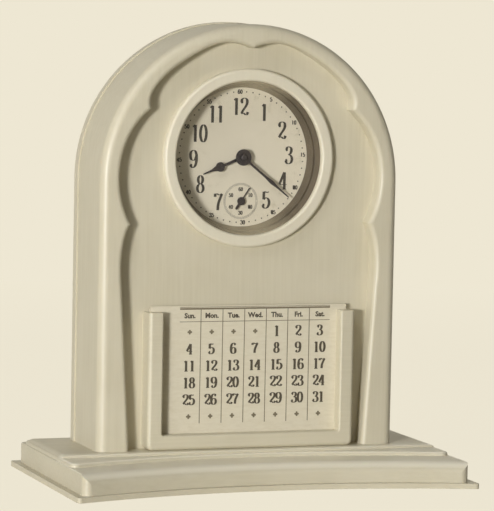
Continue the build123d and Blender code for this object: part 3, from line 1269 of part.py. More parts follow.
PIECES = {
    "base_flange": base_flange, "base_body": base_body, "base_core": base_core,
    "base_lower_step": lower_step, "base_upper_step": upper_step, "base_screws": base_screws,
    "case_screws": case_screws, "case_block": case_block, "case_band": case_band,
    "rear_rim": rear_rim, "front_frame": front_frame, "front_panel": front_panel,
    "back_panel": back_panel, "bezel_ring": bezel_ring, "calendar_holder": calendar_holder,
    "calendar_backing": calendar_backing, "calendar_card": calendar_card, "spare_cards": spare_cards,
    "movement_can": movement_can, "metal_bezel": metal_bezel, "crystal": crystal, "dial": dial,
    "dial_feet": dial_feet, "back_cover": back_cover, "clamp_ring": clamp_ring,
    "clamp_screws": clamp_screws, "minute_hand": minute_hand, "hour_hand": hour_hand,
    "seconds_hand": seconds_hand, "centre_cap": centre_cap, "front_plate": front_plate,
    "back_plate": back_plate, "plate_pillars": plate_pillars, "pillar_nuts": pillar_nuts,
    "centre_arbor": centre_arbor, "centre_wheel": centre_wheel, "third_wheel": third_wheel,
    "fourth_wheel": fourth_wheel, "escape_wheel": escape_wheel, "pallet_lever": pallet_lever,
    "balance_wheel": balance_wheel, "hairspring": hairspring, "hairspring_stud": hairspring_stud,
    "regulator_lever": regulator_lever, "great_wheel": great_wheel, "click": click,
    "click_spring": click_spring, "ratchet_wheel": ratchet_wheel, "winding_arbor": winding_arbor,
    "mainspring": mainspring, "mainspring_post": mainspring_post, "winding_key": winding_key,
    "set_knob": set_knob, "cannon_pinion": cannon_pinion, "minute_wheel": minute_wheel,
    "minute_wheel_post": minute_wheel_post, "hour_wheel": hour_wheel,
}

os.makedirs("parts", exist_ok=True)
for node, make in PIECES.items():
    save(node, make())
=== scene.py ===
"""Desk clock with calendar: finishes, printed work and studio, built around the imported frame.

Everything is in metres in the frame's own axes: Z up, the front faces -Y, and +X is to the right of
someone who reads the dial.
"""

import json
import logging
import math
from dataclasses import dataclass
from enum import Enum
from typing import Iterable, Sequence, Union

import bmesh
import bpy
from bpy.types import Material, Mesh, Node, NodeSocket, NodeTree, Object
from mathutils import Matrix, Vector
from mathutils.geometry import delaunay_2d_cdt

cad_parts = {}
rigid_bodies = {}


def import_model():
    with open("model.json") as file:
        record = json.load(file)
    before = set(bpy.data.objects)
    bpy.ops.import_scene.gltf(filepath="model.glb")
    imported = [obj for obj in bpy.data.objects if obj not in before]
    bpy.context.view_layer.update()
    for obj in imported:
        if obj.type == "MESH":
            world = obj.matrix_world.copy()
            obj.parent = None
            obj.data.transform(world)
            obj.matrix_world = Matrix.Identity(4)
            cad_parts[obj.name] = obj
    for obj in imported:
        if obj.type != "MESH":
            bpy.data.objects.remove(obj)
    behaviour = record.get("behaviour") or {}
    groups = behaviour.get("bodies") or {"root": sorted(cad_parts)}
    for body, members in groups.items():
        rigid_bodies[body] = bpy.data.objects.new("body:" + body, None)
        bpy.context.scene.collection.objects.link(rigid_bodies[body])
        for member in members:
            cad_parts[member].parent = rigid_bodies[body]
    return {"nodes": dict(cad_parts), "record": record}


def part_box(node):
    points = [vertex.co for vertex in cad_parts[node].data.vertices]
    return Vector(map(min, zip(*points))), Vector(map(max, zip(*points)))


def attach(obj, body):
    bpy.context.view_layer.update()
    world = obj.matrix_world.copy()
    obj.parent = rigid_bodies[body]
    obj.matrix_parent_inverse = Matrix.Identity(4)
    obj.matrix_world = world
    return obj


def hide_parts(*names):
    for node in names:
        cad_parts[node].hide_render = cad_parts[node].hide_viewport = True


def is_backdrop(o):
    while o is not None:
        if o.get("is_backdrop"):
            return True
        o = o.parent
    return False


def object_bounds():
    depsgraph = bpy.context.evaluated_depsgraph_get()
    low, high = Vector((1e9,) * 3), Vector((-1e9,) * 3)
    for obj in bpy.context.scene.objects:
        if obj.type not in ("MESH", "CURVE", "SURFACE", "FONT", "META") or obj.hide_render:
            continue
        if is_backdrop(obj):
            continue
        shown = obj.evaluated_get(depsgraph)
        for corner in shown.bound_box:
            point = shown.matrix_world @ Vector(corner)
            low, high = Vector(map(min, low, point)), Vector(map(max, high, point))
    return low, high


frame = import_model()

LOG = logging.getLogger("desk_clock")
MM = 0.001
TURN = 2 * math.pi
MERGE = 1e-6
SHARP = math.radians(35.0)
INK_DEPTH = 0.03 * MM
LETTER_WEIGHT = 0.045
DIAL_MIDDLE = (0.0002, 0.0, 0.11635)

Colour = tuple[float, float, float]
Point = tuple[float, float]
Line = tuple[str, Point, float]
Number = Union["Value", float]


def colour(red: int, green: int, blue: int) -> Colour:
    """Linear colour of an 8-bit display colour.

    Args:
        red: Display red, 0 to 255.
        green: Display green, 0 to 255.
        blue: Display blue, 0 to 255.

    Returns:
        The linear red, green and blue that a shader takes.
    """
    def linear(level: int) -> float:
        """Linear level of one channel."""
        share = level / 255
        return share / 12.92 if share <= 0.04045 else ((share + 0.055) / 1.055) ** 2.4

    return linear(red), linear(green), linear(blue)


# ---- shader wrapper
class Value:
    """A number socket of a shader that takes part in arithmetic."""

    def __init__(self, graph: "Graph", socket: NodeSocket) -> None:
        """Wrap a socket of a graph."""
        self.graph = graph
        self.socket = socket

    def math(self, operation: str, *operands: Number) -> "Value":
        """Result of a Math node whose first operand is this value."""
        return self.graph.math(operation, self, *operands)

    def __add__(self, other: Number) -> "Value":
        """Sum."""
        return self.math("ADD", other)

    __radd__ = __add__

    def __sub__(self, other: Number) -> "Value":
        """Difference."""
        return self.math("SUBTRACT", other)

    def __rsub__(self, other: Number) -> "Value":
        """Reflected difference."""
        return self.graph.math("SUBTRACT", other, self)

    def __mul__(self, other: Number) -> "Value":
        """Product."""
        return self.math("MULTIPLY", other)

    __rmul__ = __mul__

    def __truediv__(self, other: Number) -> "Value":
        """Quotient."""
        return self.math("DIVIDE", other)

    def __rtruediv__(self, other: Number) -> "Value":
        """Reflected quotient."""
        return self.graph.math("DIVIDE", other, self)

    def __pow__(self, other: Number) -> "Value":
        """Power."""
        return self.math("POWER", other)

    def clamped(self) -> "Value":
        """This value kept between nought and one."""
        return self.math("MINIMUM", 1.0).math("MAXIMUM", 0.0)

    def between(self, low: float, high: float) -> "Value":
        """How far this value has come from low to high, kept between nought and one."""
        return ((self - low) / (high - low)).clamped()


class Wiring:
    """A node tree whose nodes are all made in one way."""

    def __init__(self, tree: NodeTree) -> None:
        """Start on a tree."""
        self.tree = tree

    def node(self, kind: str, settings: dict | None = None, inputs: dict | None = None) -> Node:
        """Make any node.

        Args:
            kind: Node type.
            settings: Properties of the node, set first.
            inputs: What its sockets take, by name or by index.

        Returns:
            The new node.
        """
        node = self.tree.nodes.new(kind)
        for name, setting in (settings or {}).items():
            setattr(node, name, setting)
        for name, value in (inputs or {}).items():
            self.feed(node.inputs[name], value)
        return node

    def feed(self, socket: NodeSocket, value: object) -> None:
        """Link or set one input socket.

        Args:
            socket: The input.
            value: A Value, a node whose first output counts, an output socket, a colour or a number.
        """
        if isinstance(value, Value):
            value = value.socket
        elif isinstance(value, Node):
            value = value.outputs[0]
        if isinstance(value, NodeSocket):
            self.tree.links.new(value, socket)
        elif socket.type == "RGBA":
            socket.default_value = (*value, 1.0)
        else:
            socket.default_value = value


class Graph(Wiring):
    """The node tree of one material or of the world."""

    def __init__(self, tree: NodeTree) -> None:
        """Empty a tree and start on it."""
        tree.nodes.clear()
        super().__init__(tree)

    def math(self, operation: str, *operands: Number) -> Value:
        """Result of a Math node."""
        node = self.node("ShaderNodeMath", {"operation": operation}, dict(enumerate(operands)))
        return Value(self, node.outputs[0])

    def place(self, scale: Sequence[float] = (1, 1, 1), centre: Sequence[float] = (0, 0, 0)) -> Node:
        """Object coordinates, centred and stretched.

        Args:
            scale: Factor along each axis.
            centre: Point of the frame that becomes the origin.

        Returns:
            The node that gives the vector.
        """
        here = self.node("ShaderNodeTexCoord").outputs["Object"]
        shift = [-s * c for s, c in zip(scale, centre)]
        return self.node("ShaderNodeMapping", None, {"Vector": here, "Location": shift, "Scale": scale})

    def parts(self, vector: Node | NodeSocket) -> tuple[Value, ...]:
        """The three numbers of a vector."""
        node = self.node("ShaderNodeSeparateXYZ", None, {"Vector": vector})
        return tuple(Value(self, out) for out in node.outputs)

    def noise(self, vector: Node, scale: float, detail: float = 2.0, roughness: float = 0.5) -> Value:
        """Smooth noise from nought to one."""
        return Value(self, self.node("ShaderNodeTexNoise", None, {
            "Vector": vector, "Scale": scale, "Detail": detail, "Roughness": roughness}).outputs[0])

    def blend(self, share: Number, first: object, second: object) -> NodeSocket:
        """Mix of two colours, where the share says how much of the second there is."""
        return self.node("ShaderNodeMix", {"data_type": "RGBA"}, {0: share, 6: first, 7: second}).outputs[2]

    def bump(self, height: Value, depth: float, strength: float) -> Node:
        """Normal of a relief from nought to one, with its depth in metres and how much of it shows."""
        return self.node("ShaderNodeBump", None, {"Height": height, "Distance": depth, "Strength": strength})

    def finish(self, shader: Node, kind: str = "ShaderNodeOutputMaterial") -> None:
        """Join a shader to the tree's output."""
        self.node(kind, None, {"Surface": shader})


# ---- finishes
class Grain(Enum):
    """Which way the fine lines of a sheet run."""

    ALONG_X = (30.0, 900.0, 900.0)
    ALONG_Z = (900.0, 900.0, 30.0)


@dataclass(frozen=True)
class Finish:
    """A named surface. Each kind of finish fills in its own shader."""

    name: str
    slot: str

    def shade(self, graph: Graph) -> Node:
        """Build the shader and give the node that goes to the output."""
        raise NotImplementedError

    def material(self) -> Material:
        """The finish's material, made on first use."""
        found = bpy.data.materials.get(self.name)
        if found is None:
            found = bpy.data.materials.new(self.name)
            found.use_nodes = True
            graph = Graph(found.node_tree)
            graph.finish(self.shade(graph))
        return found


@dataclass(frozen=True)
class Ivory(Finish):
    """Ivory-coloured celluloid sheet: faint parallel lines, soft clouding and a dull polish."""

    grain: Grain = Grain.ALONG_Z
    body: Colour = colour(203, 196, 174)
    line: Colour = colour(181, 172, 146)
    cloud: Colour = colour(214, 207, 187)
    line_share: float = 0.34
    cloud_share: float = 0.5
    # When set, upward-facing rounds near the front are painted paler: a painted highlight on the mouldings.
    rubbed: bool = False
    rub_reach: Point = (5.0 * MM, 9.0 * MM)
    bare: Colour = colour(240, 234, 215)

    def shade(self, graph: Graph) -> Node:
        """Lines along the grain over soft clouds; where asked, upward-facing rounds in front are painted
        paler as painted light.

        Args:
            graph: The material's graph.

        Returns:
            The shader node that goes to the output.
        """
        streaks = graph.noise(graph.place(self.grain.value), 1.0, 3.0, 0.6).between(0.35, 0.75)
        clouds = graph.noise(graph.place(), 38.0, 3.0, 0.55).between(0.3, 0.7)
        fine = graph.noise(graph.place(), 1500.0, 2.0, 0.5)
        tone = graph.blend(streaks * self.line_share, self.body, self.line)
        tone = graph.blend(clouds * self.cloud_share, tone, self.cloud)
        if self.rubbed:
            # Painted highlight: the paler colour goes where the normal faces up and the surface lies near the
            # front.
            upward = graph.parts(graph.node("ShaderNodeTexCoord").outputs["Normal"])[2]
            ahead = graph.parts(graph.place())[1] * -1.0
            painted_highlight = upward.between(0.5, 0.85) * ahead.between(*self.rub_reach)
            tone = graph.blend(painted_highlight, tone, self.bare)
        relief = streaks * 0.7 + fine * 0.3
        return graph.node("ShaderNodeBsdfPrincipled", None, {
            "Base Color": tone, "Roughness": 0.36 + clouds * 0.08 + streaks * 0.05,
            "IOR": 1.5, "Coat Weight": 0.08, "Coat Roughness": 0.25,
            "Subsurface Weight": 0.05, "Subsurface Radius": (1.0, 0.7, 0.4), "Subsurface Scale": 1.0 * MM,
            "Normal": graph.bump(relief, 0.02 * MM, 0.35)})


@dataclass(frozen=True)
class Paper(Finish):
    """Card stock with visible fibres."""

    body: Colour = colour(220, 213, 193)
    fibre: Colour = colour(203, 193, 168)

    def shade(self, graph: Graph) -> Node:
        """Short fibres over an even sheet.

        Args:
            graph: The material's graph.

        Returns:
            The shader node that goes to the output.
        """
        fibres = graph.noise(graph.place((300, 300, 1200)), 1.0, 4.0, 0.7).between(0.4, 0.8)
        cloud = graph.noise(graph.place(), 60.0, 3.0, 0.6)
        tone = graph.blend(fibres * 0.5 + cloud * 0.2, self.body, self.fibre)
        return graph.node("ShaderNodeBsdfPrincipled", None, {
            "Base Color": tone, "Roughness": 0.82 + fibres * 0.1, "Specular IOR Level": 0.3,
            "Normal": graph.bump(fibres, 0.03 * MM, 0.4)})


@dataclass(frozen=True)
class Ink(Finish):
    """Printing ink, a little thin where the paper stands up."""

    body: Colour = colour(52, 46, 40)
    thin: Colour = colour(98, 88, 72)

    def shade(self, graph: Graph) -> Node:
        """Worn flecks in a dull black.

        Args:
            graph: The material's graph.

        Returns:
            The shader node that goes to the output.
        """
        flecks = graph.noise(graph.place(), 2600.0, 3.0, 0.6).between(0.5, 0.75)
        return graph.node("ShaderNodeBsdfPrincipled", None, {
            "Base Color": graph.blend(flecks * 0.7, self.body, self.thin), "Roughness": 0.55 + flecks * 0.2})


@dataclass(frozen=True)
class Metal(Finish):
    """Bright or darkened metal, drawn or turned, with small scratches and tarnish."""

    body: Colour = colour(190, 187, 178)
    tarnish: Colour = colour(150, 143, 126)
    roughness: float = 0.26
    metallic: float = 1.0
    stretch: tuple[float, float, float] = (400.0, 2500.0, 400.0)
    tarnish_share: float = 0.5
    relief: float = 0.25

    def tone(self, graph: Graph, shade: NodeSocket) -> NodeSocket:
        """The tarnished colour as it is."""
        return shade

    def shade(self, graph: Graph) -> Node:
        """Tool marks and patches of tarnish.

        Args:
            graph: The material's graph.

        Returns:
            The shader node that goes to the output.
        """
        marks = graph.noise(graph.place(self.stretch), 1.0, 3.0, 0.6)
        patches = graph.noise(graph.place(), 160.0, 4.0, 0.6).between(0.42, 0.72)
        mixed = graph.blend(patches * self.tarnish_share + marks * 0.15, self.body, self.tarnish)
        return graph.node("ShaderNodeBsdfPrincipled", None, {
            "Base Color": self.tone(graph, mixed), "Metallic": self.metallic,
            "Roughness": self.roughness + patches * 0.12 + marks * 0.06,
            "Normal": graph.bump(marks, 0.006 * MM, self.relief)})


@dataclass(frozen=True)
class Lacquer(Metal):
    """Dark lacquer on a turned ring, with a painted sheen that makes it lighter at its top and its foot."""

    # Colour of the painted sheen, a painted reflection at the top and the foot of the ring.
    worn: Colour = colour(172, 162, 140)

    def tone(self, graph: Graph, shade: NodeSocket) -> NodeSocket:
        """The tarnished colour with a painted sheen, lighter toward the top and the foot.

        Args:
            graph: The material's graph.
            shade: The tarnished colour.

        Returns:
            The colour with its painted sheen.
        """
        across, _, up = graph.parts(graph.place(centre=DIAL_MIDDLE))
        # Painted sheen: lighter where the ring runs across the top and the foot of the dial.
        sheen_mask = up * up / (across * across + up * up)
        return graph.blend(sheen_mask.between(0.6, 0.97), shade, self.worn)


@dataclass(frozen=True)
class DialPlate(Finish):
    """Silvered dial: fine grained, dull, with a few age spots."""

    body: Colour = colour(233, 225, 205)
    spot: Colour = colour(190, 180, 154)

    def shade(self, graph: Graph) -> Node:
        """Fine pearling and spots that gather toward the rim.

        Args:
            graph: The material's graph.

        Returns:
            The shader node that goes to the output.
        """
        grain = graph.noise(graph.place(), 2200.0, 2.0, 0.6)
        spots = graph.noise(graph.place(), 420.0, 5.0, 0.65).between(0.56, 0.74)
        across, _, up = graph.parts(graph.place(centre=DIAL_MIDDLE))
        reach = (across * across + up * up) ** 0.5
        rim = reach.between(12.0 * MM, 26.0 * MM)
        tone = graph.blend(spots * (0.15 + rim * 0.45) + grain * 0.14, self.body, self.spot)
        return graph.node("ShaderNodeBsdfPrincipled", None, {
            "Base Color": tone, "Metallic": 0.06, "Roughness": 0.5 + grain * 0.12,
            "Normal": graph.bump(grain, 0.01 * MM, 0.3)})


@dataclass(frozen=True)
class Glass(Finish):
    """Thin clear glass, faintly smeared."""

    tint: Colour = colour(44, 44, 40)
    cover: float = 0.03

    def shade(self, graph: Graph) -> Node:
        """Mostly open, with a polished face that the smears dull.

        Args:
            graph: The material's graph.

        Returns:
            The shader node that goes to the output.
        """
        smears = graph.noise(graph.place(), 90.0, 3.0, 0.6)
        return graph.node("ShaderNodeBsdfPrincipled", None, {
            "Base Color": self.tint, "Roughness": 0.02 + smears * 0.03, "IOR": 1.5,
            "Alpha": self.cover + smears * 0.02})


@dataclass(frozen=True)
class Wood(Finish):
    """Plain pale softwood for the blocks inside."""

    pale: Colour = colour(196, 164, 118)
    dark: Colour = colour(158, 120, 76)

    def shade(self, graph: Graph) -> Node:
        """Growth lines along X.

        Args:
            graph: The material's graph.

        Returns:
            The shader node that goes to the output.
        """
        warp = graph.noise(graph.place((12, 90, 90)), 1.0, 3.0, 0.5)
        line = (graph.parts(graph.place())[1] * 900 + warp * 9).math("SINE") * 0.5 + 0.5
        return graph.node("ShaderNodeBsdfPrincipled", None, {
            "Base Color": graph.blend(line * 0.7, self.pale, self.dark), "Roughness": 0.6 + line * 0.15,
            "Normal": graph.bump(line, 0.05 * MM, 0.3)})


IVORY_UP = Ivory("ivory_upright_grain", "ivory", Grain.ALONG_Z)
IVORY_ACROSS = Ivory("ivory_level_grain", "ivory", Grain.ALONG_X)
# Painted light: the upward-facing rounds of the front mouldings are painted paler.
IVORY_MOULDED = Ivory("ivory_rubbed_moulding", "ivory", Grain.ALONG_X, rubbed=True)
# A lighter copy of the ivory for the ring round the dial: painted light that brightens the ring.
IVORY_RING_PAINTED_LIGHT = Ivory("ivory_turned_ring", "ivory", Grain.ALONG_Z, colour(218, 211, 191),
                     colour(198, 189, 165), colour(226, 220, 202), line_share=0.2)
CARD = Paper("card_stock", "card")
INK = Ink("printing_ink", "card", colour(70, 63, 52), colour(116, 106, 86))
RULE_INK = Ink("rule_ink", "card", colour(112, 103, 84), colour(150, 140, 116))
DIAL_INK = Ink("dial_paint", "dial_silver", colour(66, 61, 55), colour(112, 103, 88))
NICKEL = Metal("nickel_plate", "nickel")
SCREW = Metal("screw_steel_polish", "screw_steel", colour(140, 138, 134), colour(92, 84, 74), 0.32)
# Dark lacquer with a painted sheen at the top and the foot of the ring.
BEZEL = Lacquer("dark_bezel_lacquer", "dark_bezel", colour(104, 95, 81), colour(124, 112, 94),
                roughness=0.4, metallic=0.35)
BRASS = Metal("lacquered_brass", "movement_brass", colour(196, 160, 92), colour(148, 112, 58), 0.3)
STEEL = Metal("ground_steel", "movement_steel", colour(156, 156, 154), colour(112, 108, 102), 0.28)
SPRING = Metal("tempered_spring", "spring_steel", colour(92, 96, 108), colour(70, 64, 60), 0.3)
BLUED = Metal("blued_steel_polish", "blued_steel", colour(66, 62, 64), colour(84, 74, 66),
              roughness=0.34, metallic=0.55)
DIAL_SILVER = DialPlate("silvered_dial", "dial_silver")
CLEAR = Glass("clear_glass", "glass")
CORE = Wood("core_softwood", "core_wood")


# ---- shape helpers
def placed(name: str, data: object) -> Object:
    """New object in the scene.

    Args:
        name: Object name.
        data: Its mesh, letters, lamp or camera.

    Returns:
        The object.
    """
    made = bpy.data.objects.new(name, data)
    bpy.context.scene.collection.objects.link(made)
    return made


def publish(name: str, mesh: Mesh, body: str, finish: Finish, stands_for: Sequence[str] = ()) -> None:
    """Put a finished mesh into the scene as a piece.

    Args:
        name: Piece name.
        mesh: Its mesh, already in place.
        body: Body that it rides on.
        finish: Surface.
        stands_for: Frame nodes that it replaces.
    """
    piece = placed(name, mesh)
    mesh.materials.clear()
    mesh.materials.append(finish.material())
    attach(piece, body)
    if stands_for:
        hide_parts(*stands_for)
    LOG.info("%s: %d faces on %s", name, len(mesh.polygons), body)


def dress(finish: Finish, *nodes: str) -> None:
    """Give frame nodes a finish.

    Args:
        finish: Surface.
        nodes: Names of the nodes, which keep their shape.
    """
    for name in nodes:
        mesh = frame["nodes"][name].data
        mesh.materials.clear()
        mesh.materials.append(finish.material())
        LOG.info("%s: dressed in %s", name, finish.name)


def body_of(node: str) -> str:
    """Name of the body that a frame node rides on."""
    groups = frame["record"]["behaviour"]["bodies"]
    return next(body for body, members in groups.items() if node in members)


def softened(node: str, finish: Finish, width: float, name: str) -> None:
    """Put a copy of a frame node with its sharp edges rounded in its place.

    Args:
        node: Frame node.
        finish: Surface.
        width: Width of the rounding in metres.
        name: Piece name.
    """
    mesh = frame["nodes"][node].data.copy()
    shape = bmesh.new()
    shape.from_mesh(mesh)
    bmesh.ops.remove_doubles(shape, verts=shape.verts, dist=MERGE)
    bmesh.ops.dissolve_limit(shape, angle_limit=math.radians(0.2), verts=shape.verts, edges=shape.edges)
    shape.to_mesh(mesh)
    shape.free()
    holder = placed(name + "_draft", mesh)
    rounding = holder.modifiers.new("rounding", "BEVEL")
    rounding.width = width
    rounding.segments = 2
    rounding.limit_method = "ANGLE"
    rounding.angle_limit = SHARP
    mesh.shade_smooth()
    mesh.set_sharp_from_angle(angle=SHARP)
    holder.modifiers.new("weighting", "WEIGHTED_NORMAL").keep_sharp = True
    publish(name, evaluated(holder), body_of(node), finish, (node,))


def evaluated(holder: Object) -> Mesh:
    """Plain mesh of an object with its modifiers carried out; the object is then removed.

    Args:
        holder: The object.

    Returns:
        The mesh.
    """
    bpy.context.view_layer.update()
    graph = bpy.context.evaluated_depsgraph_get()
    mesh = bpy.data.meshes.new_from_object(holder.evaluated_get(graph), preserve_all_data_layers=True,
                                           depsgraph=graph)
    holder.modifiers.clear()
    bpy.data.objects.remove(holder)
    return mesh


def prism(quads: Sequence[Sequence[Point]], front: float, back: float) -> Mesh:
    """Closed flat solid over the union of flat polygons in X and Z.

    Args:
        quads: Polygons that may overlap.
        front: Depth of the face toward the viewer.
        back: Depth of the rear face.

    Returns:
        The mesh.
    """
    corners: list[Vector] = []
    faces: list[list[int]] = []
    for quad in quads:
        turn = sum(a[0] * b[1] - b[0] * a[1] for a, b in zip(quad, [*quad[1:], quad[0]]))
        ordered = quad if turn > 0 else list(reversed(quad))
        faces.append(list(range(len(corners), len(corners) + len(ordered))))
        corners += [Vector(point) for point in ordered]
    points, _, cells, _, _, owners = delaunay_2d_cdt(corners, [], faces, 0, MERGE, True)
    kept = [cell for cell, owner in zip(cells, owners) if owner]
    used = sorted({index for cell in kept for index in cell})
    shape = bmesh.new()
    near = {i: shape.verts.new((points[i].x, front, points[i].y)) for i in used}
    far = {i: shape.verts.new((points[i].x, back, points[i].y)) for i in used}
    sides = {}
    for cell in kept:
        shape.faces.new([near[i] for i in cell])
        shape.faces.new([far[i] for i in reversed(cell)])
        for start, end in zip(cell, [*cell[1:], cell[0]]):
            sides[(start, end)] = True
    for start, end in sides:
        if (end, start) not in sides:
            shape.faces.new([near[start], far[start], far[end], near[end]])
    bmesh.ops.dissolve_limit(shape, angle_limit=0.002, verts=shape.verts, edges=shape.edges)
    mesh = bpy.data.meshes.new("prism")
    shape.to_mesh(mesh)
    shape.free()
    return mesh


def round_points(centre: Point, radius: float, steps: int = 8, tall: float = 1.0) -> list[Point]:
    """Points round a circle or an upright oval."""
    return [(centre[0] + radius * math.cos(TURN * i / steps),
             centre[1] + tall * radius * math.sin(TURN * i / steps)) for i in range(steps)]


def bar(half_width: float, half_height: float) -> list[Point]:
    """Rectangle round the origin."""
    return [(-half_width, -half_height), (half_width, -half_height), (half_width, half_height),
            (-half_width, half_height)]


def joined(name: str, meshes: Iterable[Mesh]) -> Mesh:
    """One mesh out of several that are already in place.

    Args:
        name: Mesh name.
        meshes: The meshes.

    Returns:
        The joined mesh.
    """
    shape = bmesh.new()
    for mesh in meshes:
        shape.from_mesh(mesh)
    result = bpy.data.meshes.new(name)
    shape.to_mesh(result)
    shape.free()
    return result


# ---- geometry node trees
class Pattern(Wiring):
    """A geometry node tree that repeats something, with named inputs for its sizes."""

    def __init__(self, name: str, inputs: dict[str, str]) -> None:
        """Start a tree.

        Args:
            name: Tree name.
            inputs: Kind of each named input apart from the finish, which every tree has.
        """
        super().__init__(bpy.data.node_groups.new(name, "GeometryNodeTree"))
        face = self.tree.interface
        face.new_socket("Geometry", in_out="INPUT", socket_type="NodeSocketGeometry")
        self.names: dict[str, str] = {}
        for label, kind in {**inputs, "Finish": "Material"}.items():
            socket = face.new_socket(label, in_out="INPUT", socket_type="NodeSocket" + kind)
            self.names[label] = socket.identifier
        face.new_socket("Geometry", in_out="OUTPUT", socket_type="NodeSocketGeometry")
        self.given = self.node("NodeGroupInput")

    def feed(self, socket: NodeSocket, value: object) -> None:
        """Link or set one input socket, where a name stands for an input of the tree."""
        named = isinstance(value, str) and value in self.given.outputs
        super().feed(socket, self.given.outputs[value] if named else value)

    def math(self, operation: str, first: object, second: object) -> Node:
        """Math node."""
        return self.node("ShaderNodeMath", {"operation": operation}, {0: first, 1: second})

    def repeat(self, points: Node, inputs: dict) -> None:
        """End the tree in copies of its piece on points.

        Args:
            points: Node that gives the points.
            inputs: What other sockets of the node that makes the copies take.
        """
        piece = self.node("GeometryNodeObjectInfo", {"transform_space": "ORIGINAL"}, {"Object": "Piece"})
        self.close(self.node("GeometryNodeInstanceOnPoints", None, {
            "Points": points, "Instance": piece.outputs["Geometry"], **inputs}))

    def close(self, copies: Node) -> None:
        """End the tree in Realize Instances and Set Material.

        Args:
            copies: Node that gives the copies.
        """
        real = self.node("GeometryNodeRealizeInstances", None, {0: copies})
        painted = self.node("GeometryNodeSetMaterial", None, {"Geometry": real, "Material": "Finish"})
        self.node("NodeGroupOutput", None, {0: painted})

    def grow(self, finish: Finish, seed: Mesh | None = None, **values: object) -> Mesh:
        """Carry the tree out on a mesh.

        Args:
            finish: Surface of what grows.
            seed: Mesh that the tree starts from, where it takes one.
            values: Value of each other named input.

        Returns:
            The plain mesh that results.
        """
        holder = placed(self.tree.name + "_draft", seed or bpy.data.meshes.new("seed"))
        modifier = holder.modifiers.new(self.tree.name, "NODES")
        modifier.node_group = self.tree
        for label, value in {**values, "Finish": finish.material()}.items():
            modifier[self.names[label]] = value
        return evaluated(holder)


class RingPattern(Pattern):
    """Copies of a piece round a circle that faces the front, with every so many left out."""

    def __init__(self) -> None:
        """Build the tree."""
        super().__init__("round_the_dial", {"Piece": "Object", "Count": "Int", "Radius": "Float",
                                            "Centre": "Vector", "Skip": "Int"})
        circle = self.node("GeometryNodeMeshCircle", None, {"Vertices": "Count", "Radius": "Radius"})
        upright = self.node("GeometryNodeTransform", None, {
            "Geometry": circle, "Translation": "Centre", "Rotation": (TURN / 4, 0, 0)})
        index = self.node("GeometryNodeInputIndex")
        kept = self.node("FunctionNodeCompare", {"data_type": "FLOAT", "operation": "GREATER_THAN"},
                         {0: self.math("MODULO", index, "Skip"), 1: 0.5})
        turn = self.math("MULTIPLY", self.math("DIVIDE", index, "Count"), -TURN)
        spin = self.node("ShaderNodeCombineXYZ", None, {1: self.math("ADD", turn, TURN / 4)})
        self.repeat(upright, {"Selection": kept, "Rotation": spin})


class RowPattern(Pattern):
    """Copies of a piece in a straight row."""

    def __init__(self) -> None:
        """Build the tree."""
        super().__init__("in_a_row", {"Piece": "Object", "Count": "Int", "Start": "Vector", "Step": "Vector"})
        self.repeat(self.node("GeometryNodeMeshLine", {"mode": "OFFSET"}, {
            "Count": "Count", "Start Location": "Start", "Offset": "Step"}), {})


class TypePattern(Pattern):
    """Figures from a case of type set on points that say which figure and how large."""

    def __init__(self) -> None:
        """Build the tree."""
        super().__init__("set_in_type", {"Type": "Collection"})
        letters = self.node("GeometryNodeCollectionInfo", {"transform_space": "ORIGINAL"},
                            {"Collection": "Type", "Separate Children": True, "Reset Children": True})
        which = self.node("GeometryNodeInputNamedAttribute", {"data_type": "INT"}, {"Name": "figure"})
        size = self.node("GeometryNodeInputNamedAttribute", {"data_type": "FLOAT"}, {"Name": "size"})
        self.close(self.node("GeometryNodeInstanceOnPoints", None, {
            "Points": "Geometry", "Instance": letters, "Pick Instance": True, "Instance Index": which,
            "Scale": size}))


# ---- figures
class Run(Enum):
    """How the points of a stroke are joined."""

    SMOOTH = "smooth"
    STRAIGHT = "straight"
    ROUND = "round"
    DOT = "dot"


Stroke = tuple[Run, tuple[Point, ...]]

FIGURE_MIDDLE = (0.28, 0.5)
DOT_STEPS = 14
ROUND_STEPS = 28
# Each stroke says how its points are joined, then gives them in thousandths of the figure's height.
FIGURES = {
    "0": "round 280,500 205,475",
    "1": "straight 280,30 280,970 | straight 270,965 120,860 | straight 120,15 440,15",
    "2": "smooth 90,740 120,900 280,975 440,900 470,720 380,520 200,300 80,100 | "
         "smooth 80,100 220,130 360,50 460,60 520,200 | dot 120,740 70,70",
    "3": "smooth 100,800 160,930 280,975 420,900 450,760 380,600 240,540 | "
         "smooth 240,540 420,470 500,290 440,100 270,20 130,70 70,210 | dot 130,790 65,65 | "
         "dot 110,220 70,70",
    "4": "straight 370,970 40,300 | straight 40,280 540,280 | straight 380,970 380,20 | "
         "straight 240,15 520,15",
    "5": "smooth 130,920 220,950 340,910 460,950 | straight 130,950 120,520 | "
         "smooth 120,520 260,610 430,540 500,340 430,120 260,20 120,70 70,200 | dot 110,210 70,70",
    "6": "smooth 460,820 400,940 290,975 140,850 70,550 80,260 160,70 290,20 440,100 490,300 430,500 "
         "300,570 170,520 90,360 | dot 430,830 65,65",
    "7": "smooth 60,880 160,950 340,890 520,950 | smooth 520,950 380,650 280,380 250,30 | "
         "straight 60,960 50,780",
    "8": "round 280,745 155,225 | round 280,265 200,245",
}


def strokes_of(figure: str) -> list[Stroke]:
    """Strokes of a figure, in shares of its height.

    Args:
        figure: Any figure from 0 to 8.

    Returns:
        How each stroke's points are joined, and the points.
    """
    found = []
    for run, *points in (stroke.split() for stroke in FIGURES[figure].split(" | ")):
        found.append((Run(run), tuple(tuple(int(n) / 1000 for n in point.split(",")) for point in points)))
    return found


